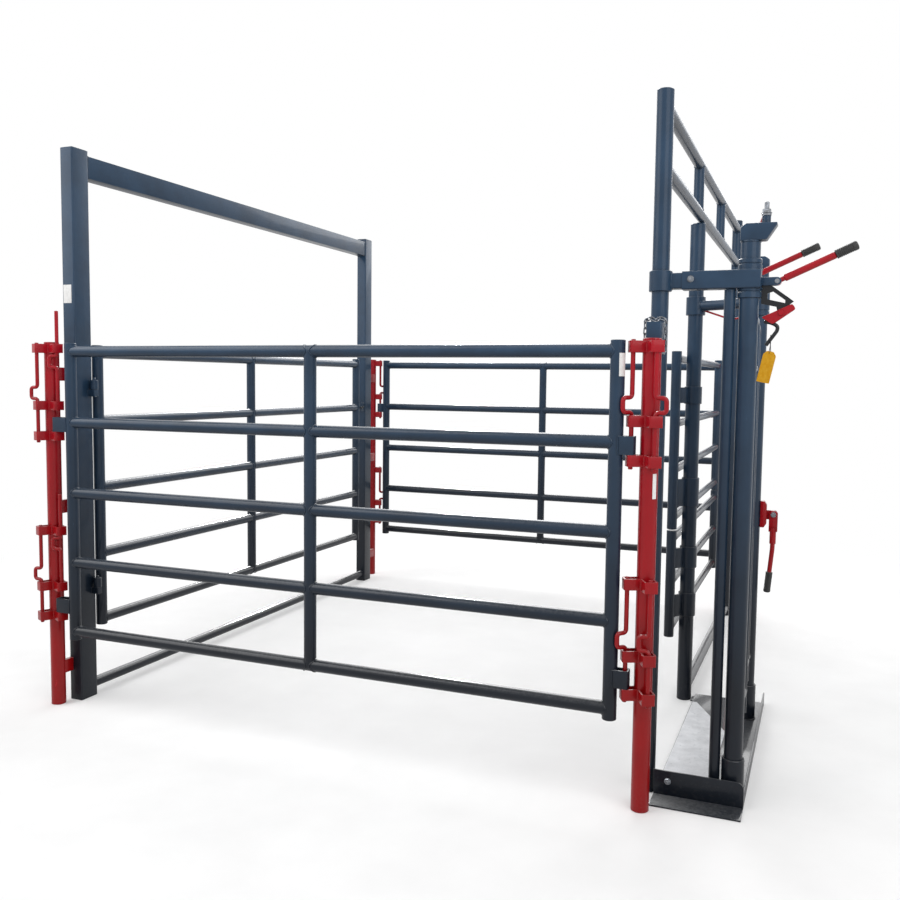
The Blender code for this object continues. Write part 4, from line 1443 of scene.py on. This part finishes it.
@dataclass
class Headgate(Assembly):
    """The headgate: two turning doors, the arms that hold them, the link between them and two levers."""

    door_r: float = 0.033
    bar_r: float = 0.0165
    brace_r: float = 0.0170
    bars: tuple[float, float, float] = (0.120, 0.235, 0.350)
    bar_z: tuple[float, float] = (0.210, 1.740)
    brace_z: tuple[float, float] = (0.300, 1.560)
    sleeve: tuple[float, float] = (1.796, 1.930)
    crank: tuple[float, float] = (1.990, 2.050)
    crank_pin: float = 0.048
    crank_pin_r: float = 0.0145
    stud_r: float = 0.008
    stud_top: float = 2.122
    link_z: float = 2.0753
    link_thick: float = 0.008
    arm_y: float = 0.075
    arm_z: float = 1.860
    arm_half: tuple[float, float] = (0.0278, 0.0320)
    far_arm_r: float = 0.0240
    far_collar: tuple[float, float] = (0.0435, 0.0338)
    near_lever: tuple[float, float, float] = (3.010, 0.100, 1.853)
    far_lever: tuple[float, float, float] = (2.882, 0.865, 1.959)
    tilt: float = 24.5
    eye_r: float = 0.014
    cross_pin_r: float = 0.005
    bead: float = 0.0034

    def build(self) -> None:
        """Builds the doors, arms, link and levers."""
        near, far = self.plan.doors
        self._door("near", near, 1)
        self._door("far", far, -1)
        self._link()
        self._near_arm()
        self._far_arm()
        foot, top = (near[0] - 0.063, near[1] - 0.010), self.arm_z - self.arm_half[1] - self.plan.gap
        tube = Shape().bar((*foot, 0.0063), (*foot, top), 0.0195, 32)
        tube.ring((*foot, 0.0075), (0, 0, 1), 0.0200, 0.0022)
        self.put("near_side_tube", tube, Look.SLATE, "frame", "side_tube")
        self._lever("lever_near", self.near_lever)
        self._lever("lever_far", self.far_lever)

    def _door(self, which: str, place: Point, way: int) -> None:
        """One door: its turning post, crank and bars.

        Args:
            which: Near or far.
            place: Where the post stands.
            way: 1 where the bars run away from the viewer, -1 where they run back.
        """
        (x, y), node, r, gap = place, f"door_{which}", self.door_r, self.plan.gap
        low, high = self.crank
        shape = Shape().bar((x, y, 0.030), (x, y, low + 0.004), r, 40, 0.003)
        side = [(-0.034, low), (0.052, low + 0.002), (0.085, high - 0.008), (0.085, high), (-0.016, high)]
        side.append((-0.034, high - 0.012))
        shape.plate([(x + way * u, z) for u, z in side], -0.028, 0.028, facing(y), 0.004)
        shape.ring((x, y, low - 0.001), (0, 0, 1), r - 0.001, self.bead)
        px, seat = x + way * self.crank_pin, self.link_z + self.link_thick + gap
        shape.bar((px, y, high - 0.01), (px, y, self.link_z - gap), self.crank_pin_r, 28)
        shape.ring((px, y, high + 0.0008), (0, 0, 1), self.crank_pin_r + 0.0007, 0.0022)
        stud = Shape().bar((px, y, high + 0.004), (px, y, self.stud_top), self.stud_r, 20, 0.0018)
        stud.bolt((px, y, seat), (px, y, seat + 0.014), 0.0160, 12.0 + 17.0 * way)
        self.put(f"{which}_door_stud", stud, Look.ZINC, node, slot=node)
        near, middle, far = (y + way * d for d in self.bars)
        foot, top = self.bar_z
        bow = eased([(x, near, foot), (x, near, top), (x, far, top), (x, far, foot)], 0.045, 9)
        shape.rod(bow, self.bar_r, 24)
        shape.bar((x, middle, foot), (x, middle, top - 0.002), self.bar_r, 24)
        for z in self.brace_z:
            shape.bar((x, y, z), (x, far, z), self.brace_r, 24)
            shape.saddle((x, y, z), (0, way, 0), self.brace_r, r, 0.0028)
            for bar in (near, middle, far):
                shape.saddle((x, bar, z), (0, -way, 0), self.brace_r, self.bar_r + 0.0003, 0.0022)
        self.put(f"{which}_door", shape, Look.SLATE, node, node)

    def _link(self) -> None:
        """The red bar that ties the two cranks together."""
        near, far = self.plan.doors
        a, b = (near[0] + self.crank_pin, near[1]), (far[0] - self.crank_pin, far[1])
        low, high = self.link_z, self.link_z + self.link_thick
        eye = Shape().collar((*a, low), (*a, high), 0.0160, 0.0086, 0.001)
        self.put("link_near_eye", eye, Look.ZINC, "cross_link", slot="cross_link")
        shape = Shape().collar((*b, low), (*b, high), 0.0300, 0.0200, 0.001)
        frame, reach = toward(a, b)
        shape.plate(oblong(0.0125, reach - 0.025, 0.011), low + 0.0001, high - 0.0001, frame, 0.0008)
        self.put("red_link", shape, Look.CRIMSON, "cross_link", "cross_link")

    def _sleeve(self, shape: Shape, place: Point) -> None:
        """The bearing sleeve round a door's neck, with the grooves of its two grease rings.

        Args:
            shape: The arm's mesh.
            place: Where the door's post stands.
        """
        low, high = self.sleeve
        r, bore = self.plan.sleeve_r, self.plan.door_bore
        dip, ease = r - 0.0022, 0.002
        line = [(bore, low), (r - ease, low), (r, low + ease)]
        for z in (low + 0.022, high - 0.017):
            line += [(r, z - 0.0030), (dip, z - 0.0016), (dip, z + 0.0016), (r, z + 0.0030)]
        line += [(r, high - ease), (r - ease, high), (bore, high)]
        shape.lathe(line, Matrix.Translation((*place, 0)), 40, True)

    def _clevis(self, shape: Shape, root: Point, low: Point, slot: str) -> None:
        """Two cheeks and the cross pin that a lever turns on.

        Args:
            shape: The arm's mesh.
            root: The cross pin's middle.
            low: The cheeks' low corner, in X and Z.
            slot: The arm's solid.
        """
        x, y, z = root
        for side in (-0.0155, 0.0095):
            cheek = round_end(low, (x, z), self.eye_r)
            shape.plate(cheek, y + side, y + side + 0.006, facing(0.0), 0.0009)
        pin = Shape().bar((x, y - 0.0178, z), (x, y + 0.0178, z), self.cross_pin_r, 18, 0.0008)
        for way in (-1, 1):
            pin.bar((x, y + way * 0.0155, z), (x, y + way * 0.0172, z), 0.0082, 20, 0.0004)
        self.put(f"{slot}_lever_pin", pin, Look.ZINC, "frame", slot=slot)

    def _near_arm(self) -> None:
        """The telescoping arm of the near door."""
        plan, y, z = self.plan, self.arm_y, self.arm_z
        (x, door_y), (thin, thick) = plan.doors[0], self.arm_half
        tall, r = (plan.tall_x, plan.tall_near), plan.sleeve_r
        inner = Shape().collar((*tall, z - 0.036), (*tall, z + 0.036), r, 0.0304)
        self._square(inner, plan.tall_x + 0.030, x - 0.060, thin)
        inner.saddle((plan.tall_x, y, z), (1, 0, 0), thin, r, self.bead, -0.015, True)
        self.put("near_arm_bar", inner, Look.SLATE, "frame", "arm_near_inner")
        outer = Shape()
        self._square(outer, plan.tall_x + 0.076, x + 0.0390, thick)
        self._sleeve(outer, plan.doors[0])
        for height in (z - thick, z + thick):
            outer.rod([(*p, height) for p in arc((x, door_y), 0.0405, -204, 24, 20)], 0.0028, 8)
        rx, _, rz = self.near_lever
        self._clevis(outer, self.near_lever, (rx - 0.067, rz - 0.014), "arm_near_sleeve")
        self.put("near_arm_sleeve", outer, Look.SLATE, "frame", "arm_near_sleeve")
        bx, face = plan.tall_x + 0.106, y - thick - plan.gap
        bolt = Shape().bolt((bx, face, z + 0.004), (bx, face - 0.0087, z + 0.004), 0.0105, 20.0, 0.005)
        self.put("near_set_bolt", bolt, Look.ZINC, "frame", "arm_set_bolt")

    def _square(self, shape: Shape, start: float, end: float, half: float) -> None:
        """A square tube along the near arm's line.

        Args:
            shape: The arm's mesh.
            start: Its left end.
            end: Its right end.
            half: Half its side.
        """
        section = rounded_loop(oblong(-half, half, half), 0.0060)
        shape.plate(section, start, end, end_on(self.arm_y, self.arm_z), 0.0008)

    def _far_arm(self) -> None:
        """The arm of the far door, from post two."""
        (px, py), (x, far), z, r = self.plan.post_two, self.plan.doors[1], self.arm_z - 0.004, self.far_arm_r
        shape = Shape().collar((px, py, z - 0.042), (px, py, z + 0.042), *self.far_collar)
        way = Vector((x - px, far - py, 0.0)).normalized()
        shape.bar(Vector((px, py, z)) + way * 0.040, Vector((x, far, z)) - way * 0.036, r, 30)
        shape.saddle((px, py, z), way, r, self.far_collar[0], self.bead)
        shape.saddle((x, far, z), -way, r, self.plan.sleeve_r, self.bead)
        self._sleeve(shape, self.plan.doors[1])
        rx, ry, rz = self.far_lever
        shape.block((rx - 0.010, ry - 0.0120, rz - 0.072), (rx + 0.012, far - 0.036, rz - 0.032), 0.0, 0.0015)
        self._clevis(shape, self.far_lever, (rx - 0.014, rz - 0.060), "arm_far")
        rod = [(px + 0.042, py - 0.012, z - 0.022), (px + 0.160, py - 0.085, z - 0.066)]
        rod += [(px + 0.200, py - 0.110, z - 0.066), (x - 0.030, far + 0.016, z - 0.046)]
        red = Shape().rod(eased(rod, 0.02, 5), 0.0045, 12)
        self.put("far_arm_red_rod", red, Look.CRIMSON, "frame", slot="arm_far")
        self.put("far_arm", shape, Look.SLATE, "frame", "arm_far")

    def _lever(self, node: str, root: Point) -> None:
        """A red hand lever and its grip.

        Args:
            node: The lever's solid and body.
            root: The cross pin's middle.
        """
        x, y, z = root
        turn = math.radians(self.tilt)
        way = Vector((math.cos(turn), 0.0, math.sin(turn)))
        neck, low, high, seat, tip = (Vector(root) + way * d for d in (0.010, 0.026, 0.200, 0.2005, 0.2750))
        shape = Shape().collar((x, y - 0.009, z), (x, y + 0.009, z), self.eye_r, self.cross_pin_r + 0.0007)
        shape.bar(neck, seat, 0.0085, 24)
        shape.bar(low, high, 0.0125, 28, 0.0022)
        shape.ring(low + way * 0.001, way, 0.0100, 0.0022)
        self.put(f"{node}_bar", shape, Look.CRIMSON, node, node)
        frame, length = stand(seat, tip)
        grip = Shape().lathe(grip_line(0.0155, length), frame, 32)
        self.put(f"{node}_rubber", grip, Look.RUBBER, node, f"{node}_grip")


@dataclass
class LatchGear(Assembly):
    """The bracket, plates, rod and tag beside the near sleeve."""

    x: float = 2.920
    y: float = 0.095
    edge: float = 0.0395
    tag_z: float = 1.560
    tag: tuple[float, float, float] = (0.026, 0.055, 0.013)
    tag_hole: float = 0.047
    tag_lean: tuple[float, float] = (12.0, 38.0)

    def build(self) -> None:
        """Builds the four pieces and the tag's wire."""
        x, y, frame = self.x, self.y, facing(self.y)
        outline = [(self.edge, 1.850), (self.edge, 1.777), (0.090, 1.766), (0.097, 1.734), (0.115, 1.734)]
        outline += [(0.122, 1.764), (0.146, 1.783), (0.128, 1.797), (0.076, 1.836)]
        window = [(0.060, 1.812), (0.060, 1.792), (0.118, 1.778), (0.118, 1.788), (0.078, 1.818)]
        upper = outline[:2] + [window[1], window[0]] + window[:1:-1] + outline[6:]
        bracket = Shape()
        for line in (upper, outline[1:7] + window[2:0:-1]):
            bracket.plate([(x + u, z) for u, z in line], -0.003, 0.003, frame, 0.0)
        self.put("near_latch_bracket", bracket, Look.BLACK, "frame", "latch_bracket")
        bar = [(0.042, 1.730), (0.080, 1.706), (0.153, 1.758), (0.142, 1.775)]
        plates = Shape()
        for low in (-0.0108, 0.0068):
            plates.plate(rounded_loop([(x + u, z) for u, z in bar], 0.007), low, low + 0.004, frame, 0.0007)
        bx, bz = x + 0.106, 1.745
        plates.bar((bx, y - 0.010, bz), (bx, y + 0.015, bz), 0.006, 16)
        plates.bolt((bx, y - 0.0108, bz), (bx, y - 0.019, bz), 0.010)
        self.put("red_latch_plates", plates, Look.CRIMSON, "frame", "latch_plates")
        rod = [(0.052, 1.716), (0.078, 1.711), (0.0965, 1.700), (0.0960, 1.685), (0.060, 1.634)]
        bent = Shape().rod(eased([(x + u, y, z) for u, z in rod], 0.010, 6), 0.0065, 18, ease=0.0014)
        self.put("black_latch_rod", bent, Look.BLACK, "frame", "latch_rod")
        self._tag()

    def _tag(self) -> None:
        """The blank yellow tag on its wire."""
        (x, y), (w, h, neck), hole = (self.x, self.y), self.tag, self.tag_hole
        corners = [(-w, -h), (w, -h), (w, h - neck), (neck, h), (-neck, h), (-w, h - neck)]
        tip, turn = (math.radians(angle) for angle in self.tag_lean)
        lean = Matrix.Rotation(tip, 4, "Y") @ Matrix.Rotation(turn, 4, "Z")
        frame = Matrix.Translation((x + 0.065, y, self.tag_z)) @ lean @ facing(0)
        shape = Shape().plate(rounded_loop(corners, 0.004), -0.0006, 0.0006, frame, 0.0002)
        back, front = (frame @ Vector((0, hole, side)) for side in (-0.0010, 0.0010))
        shape.collar(back, front, 0.0052, 0.0028, 0.0003)
        self.put("yellow_tag", shape, Look.TAG, "frame", "tag")
        wire = [(0.0750, -0.0066, 1.632), (0.0752, -0.0090, 1.655), (0.0752, -0.0080, 1.6652)]
        wire += [(0.0752, 0, 1.6718)] + [(u, -v, z) for u, v, z in wire[::-1]]
        start, end = (frame @ Vector((u, hole - 0.001, 0)) for u in (-0.0042, 0.0042))
        path = eased([start] + [(x + u, y + v, z) for u, v, z in wire] + [end], 0.005, 5)
        self.put("tag_wire", Shape().rod(path, 0.0012, 10), Look.BLACK, "frame", slot="tag")


@dataclass
class HangingLever(Assembly):
    """The short lever that hangs from a bracket on the far door's post."""

    x: float = 2.986
    z: float = 0.930
    post_edge: float = 2.9313
    foot: tuple[float, float] = (-0.016, -0.335)

    def build(self) -> None:
        """Builds the bracket, bolt, lever and grip."""
        x, y, z, edge = self.x, self.plan.doors[1][1], self.z, self.post_edge
        frame = facing(y)
        half = [(0.0, 0.058), (0.016, 0.058), (0.026, 0.042)]
        plate = [(edge + u, z - v) for u, v in half] + [(edge + u, z + v) for u, v in half[::-1]]
        bracket = Shape().plate(plate, -0.016, 0.016, frame, 0.002)
        ear = round_end((edge + 0.022, z - 0.022), (x - 0.006, z), 0.018)
        bracket.plate(ear, -0.0060, 0.0060, frame, 0.001)
        self.put("red_drop_bracket", bracket, Look.CRIMSON, "door_far", "drop_bracket")
        bolt = Shape().bar((x, y - 0.0185, z), (x, y + 0.0185, z), 0.006, 18)
        bolt.bolt((x, y - 0.0123, z), (x, y - 0.0230, z), 0.0105)
        bolt.bolt((x, y + 0.0123, z), (x, y + 0.0210, z), 0.0105, 20.0)
        self.put("drop_lever_bolt", bolt, Look.ZINC, "door_far", "drop_bolt")
        lever = Shape()
        cheek = [(-0.018, -0.075), (0.018, -0.075), (0.018, 0.006)]
        cheek += [(0.010, 0.017), (-0.010, 0.017), (-0.018, 0.006)]
        for low in (-0.0120, 0.0063):
            lever.plate([(x + u, z + v) for u, v in cheek], low, low + 0.0057, frame, 0.0008)
        lever.block((x - 0.0178, y - 0.0120, z - 0.0750), (x + 0.0178, y + 0.0120, z - 0.0500), 0.0, 0.0015)
        lever.bar((x, y, z - 0.060), (x, y, z - 0.130), 0.0135, 28, 0.002)
        foot = Vector((x + self.foot[0], y, z + self.foot[1]))
        lever.rod(eased([(x, y, z - 0.120), (x, y, z - 0.150), foot], 0.025, 6), 0.0100, 20)
        self.put("red_drop_lever", lever, Look.CRIMSON, "drop_lever", "drop_lever")
        lean = (foot - Vector((x, y, z - 0.150))).normalized()
        grip_frame, length = stand(foot - lean * 0.080, foot + lean * 0.012)
        grip = Shape().lathe(grip_line(0.0150, length), grip_frame, 32)
        self.put("drop_lever_rubber", grip, Look.RUBBER, "drop_lever", "drop_lever_grip")


@dataclass
class CornerStub(Assembly):
    """The square stub between the near right posts, with the plated chain over it."""

    low_z: float = 1.600
    high_z: float = 1.710
    chain_y: float = -0.040

    def build(self) -> None:
        """Builds the stub and the chain."""
        plan, y, top = self.plan, self.chain_y, self.high_z
        low = (plan.tall_x - 0.021, plan.near_y + 0.0320, self.low_z)
        high = (plan.tall_x + 0.029, plan.tall_near - 0.0304, top)
        stub = Shape().block(low, high, 0.004, 0.0015)
        self.put("square_stub", stub, Look.SLATE, "frame", "corner_stub")
        left, right = low[0] - 0.0100, high[0] + 0.0100
        over = [(left + 0.004, 0.0095), (left + 0.019, 0.0148), (left + 0.036, 0.0048)]
        over += [(right - 0.019, 0.0148), (right - 0.004, 0.0095)]
        hang = [(left, -0.080 + 0.020 * i) for i in range(5)]
        line = hang + over + [(right, -0.020 * i) for i in range(6)]
        chain = chain_links([(x, y, top + rise) for x, rise in line], 0.0025, 0.0060)
        self.put("plated_chain", chain, Look.ZINC, "frame", "corner_chain")


@dataclass
class Base(Assembly):
    """The tray under the headgate, with its door sockets, bolt and pale floor plate."""

    wall: float = 0.006
    lip: float = 0.096
    edge_z: float = 0.055
    socket: tuple[float, float] = (0.040, 0.160)

    def build(self) -> None:
        """Builds the tray, its bolt and the plate."""
        plan, w, (r, top), bore = self.plan, self.wall, self.socket, self.plan.door_bore
        (px, py), door = plan.post_two, plan.doors[0][0]
        x0, x1, face, far = plan.tall_x + 0.0305, door + 0.045, plan.tall_near - 0.033, py + 0.070
        inner, back = x1 - w, face + w
        tray = Shape().block((x0, face, 0.0), (x1, far, w))
        corner = eased([(x1, 0.0, 0.0), (x1, self.lip, 0.0), (x0, self.lip, 0.0)], 0.028, 8)
        tray.plate([(x0, 0.0)] + [(p.x, p.y) for p in corner], -w, 0.0, facing(back), 0.0012)
        tray.block((x0, face - 0.099, 0.0), (x1, face + 0.004, w), 0.0, 0.0012)
        tray.block((inner, face, 0.0), (x1, far, self.edge_z), 0.0, 0.0015)
        tray.block((px + 0.0338, py - 0.030, 0.0), (x0, py + 0.030, w))
        for line in (((x0 + 0.002, back, w), (inner, back, w)), ((inner, back, w), (inner, far, w))):
            tray.rod(line, 0.0030, 8)
        cup = [(0.0002, 0.003), (r, 0.003), (r, top - 0.002), (r - 0.0015, top)]
        cup += [(bore, top), (bore, 0.020), (0.0002, 0.020)]
        for place in plan.doors:
            tray.lathe(cup, Matrix.Translation((*place, 0)), 36, True)
            tray.ring((*place, w + 0.001), (0, 0, 1), r + 0.0008, 0.0032)
        self.put("base_pan", tray, Look.SLATE, "frame", "base_tray")
        bx, seat, bz = x0 + 0.050, face - plan.gap, 0.058
        bolt = Shape().bolt((bx, seat, bz), (bx, seat - 0.0087, bz), 0.011, 10.0, 0.005)
        self.put("pan_bolt", bolt, Look.ZINC, "frame", "base_bolt")
        edge, near, side, end = x0 + 0.003, back + 0.004, door - 0.086, py - 0.060
        # The pale plate is partly painted sunlight on the tray floor and partly dust; its slanted far edge
        # follows a shadow's edge, where the painted sunlight ends.
        outline = [(edge, near), (side, near), (side, 0.740), (edge + 0.020, end), (edge, end)]
        plate = Shape().plate(outline, w + plan.gap, w + 0.004, Matrix(), 0.0012)
        self.put("pale_floor_plate", plate, Look.WORN, "frame", "floor_plate")


@dataclass
class Stage:
    """The pale floor, the white background, the soft lamps and the camera."""

    focal: float = 36.94
    yaw: float = -22.12
    pitch: float = 4.32
    roll: float = -0.64
    place: tuple[float, float, float] = (3.182, -3.291, 1.502)
    floor: tuple[Colour, Colour] = ((0.80, 0.80, 0.80), (0.84, 0.84, 0.84))
    floor_half: float = 60.0
    middle: tuple[float, float, float] = (1.5, 1.4, 1.0)
    blend_span: tuple[float, float] = (2.6, 4.6)
    sun: tuple[float, float, float] = (-0.357, 0.800, 0.480)

    def build(self) -> None:
        """Builds the stage."""
        bpy.context.scene.view_settings.view_transform = "Standard"
        self._floor()
        self._world()
        self._camera()
        self._lamp("soft_left", (-3.5, -3.0, 5.5), 6.0, 230.0)
        self._lamp("soft_right", (6.5, -3.5, 4.5), 5.0, 150.0)
        self._lamp("soft_back", (1.5, 7.5, 6.5), 7.0, 380.0)
        self._sun(1.2, 3.0)

    def _floor(self) -> None:
        """The floor, white to the camera away from the object's shadow."""
        half = self.floor_half
        floor = Shape().plate(oblong(-half, half, half), -0.02, -0.0005, Matrix(), 0.0).finish("pale_floor")
        material = bpy.data.materials.new("pale_floor")
        bench = Bench(material)
        place = bench.place()
        speckle = bench.cloud(place, 3.0, 4.0)
        bench.surface(Base_Color=bench.mix(speckle.step(0.3, 0.7), *self.floor), Roughness=0.9)
        x, y, _ = bench.axes(place)
        across, along = x - self.middle[0], y - self.middle[1]
        square = across * across + along * along
        bench.glow(square.math("SQRT", square).step(*self.blend_span) * bench.seen())
        floor.data.materials.append(material)

    def _world(self) -> None:
        """A plain soft world that the camera, mirrors and glass see as white."""
        world = bpy.data.worlds.new("soft_world")
        bpy.context.scene.world = world
        bench = Bench(world, "Background")
        bench.surface(Color=WHITE, Strength=0.55 + 0.45 * bench.seen())

    def _camera(self) -> None:
        """The camera at the photograph's place."""
        yaw, pitch, roll = (math.radians(v) for v in (self.yaw, self.pitch, self.roll))
        ahead = Vector((math.sin(yaw) * math.cos(pitch), math.cos(yaw) * math.cos(pitch), -math.sin(pitch)))
        level = Vector((math.cos(yaw), -math.sin(yaw), 0.0))
        down = ahead.cross(level)
        right = level * math.cos(roll) + down * math.sin(roll)
        below = -level * math.sin(roll) + down * math.cos(roll)
        data = bpy.data.cameras.new("camera")
        data.sensor_width, data.lens, data.clip_end = 36.0, self.focal, 200.0
        camera = linked("camera", data)
        turned = Matrix((right, -below, -ahead)).transposed().to_4x4()
        camera.matrix_world = Matrix.Translation(self.place) @ turned
        bpy.context.scene.camera = camera

    def _lamp(self, name: str, place: Point, size: float, power: float) -> None:
        """A soft square lamp aimed at the pen's middle.

        Args:
            name: Its name.
            place: Where it hangs.
            size: Its side.
            power: Its power in watts.
        """
        data = bpy.data.lights.new(name, "AREA")
        data.size, data.energy = size, power
        turned = (Vector(self.middle) - Vector(place)).to_track_quat("-Z", "Y").to_matrix().to_4x4()
        linked(name, data).matrix_world = Matrix.Translation(place) @ turned

    def _sun(self, power: float, spread: float) -> None:
        """The low sun behind the pen, which glints on the rails' tops.

        Args:
            power: Its strength.
            spread: Its width in degrees.
        """
        data = bpy.data.lights.new("low_sun", "SUN")
        data.energy, data.angle, data.use_shadow = power, math.radians(spread), False
        linked("low_sun", data).rotation_euler = Vector(self.sun).to_track_quat("Z", "Y").to_euler()


def main() -> None:
    """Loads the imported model, dresses it and sets the stage."""
    logging.basicConfig(level=logging.INFO, format="%(message)s")
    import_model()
    plan, paints = Plan(), Paints()
    for kind in (BowFrame, CornerPosts, Panels, LeftGate, RightWall, SideGates, Headgate, LatchGear,
                 HangingLever, CornerStub, Base):
        kind(plan, paints).build()
    Stage().build()


if __name__ == "__main__":
    main()
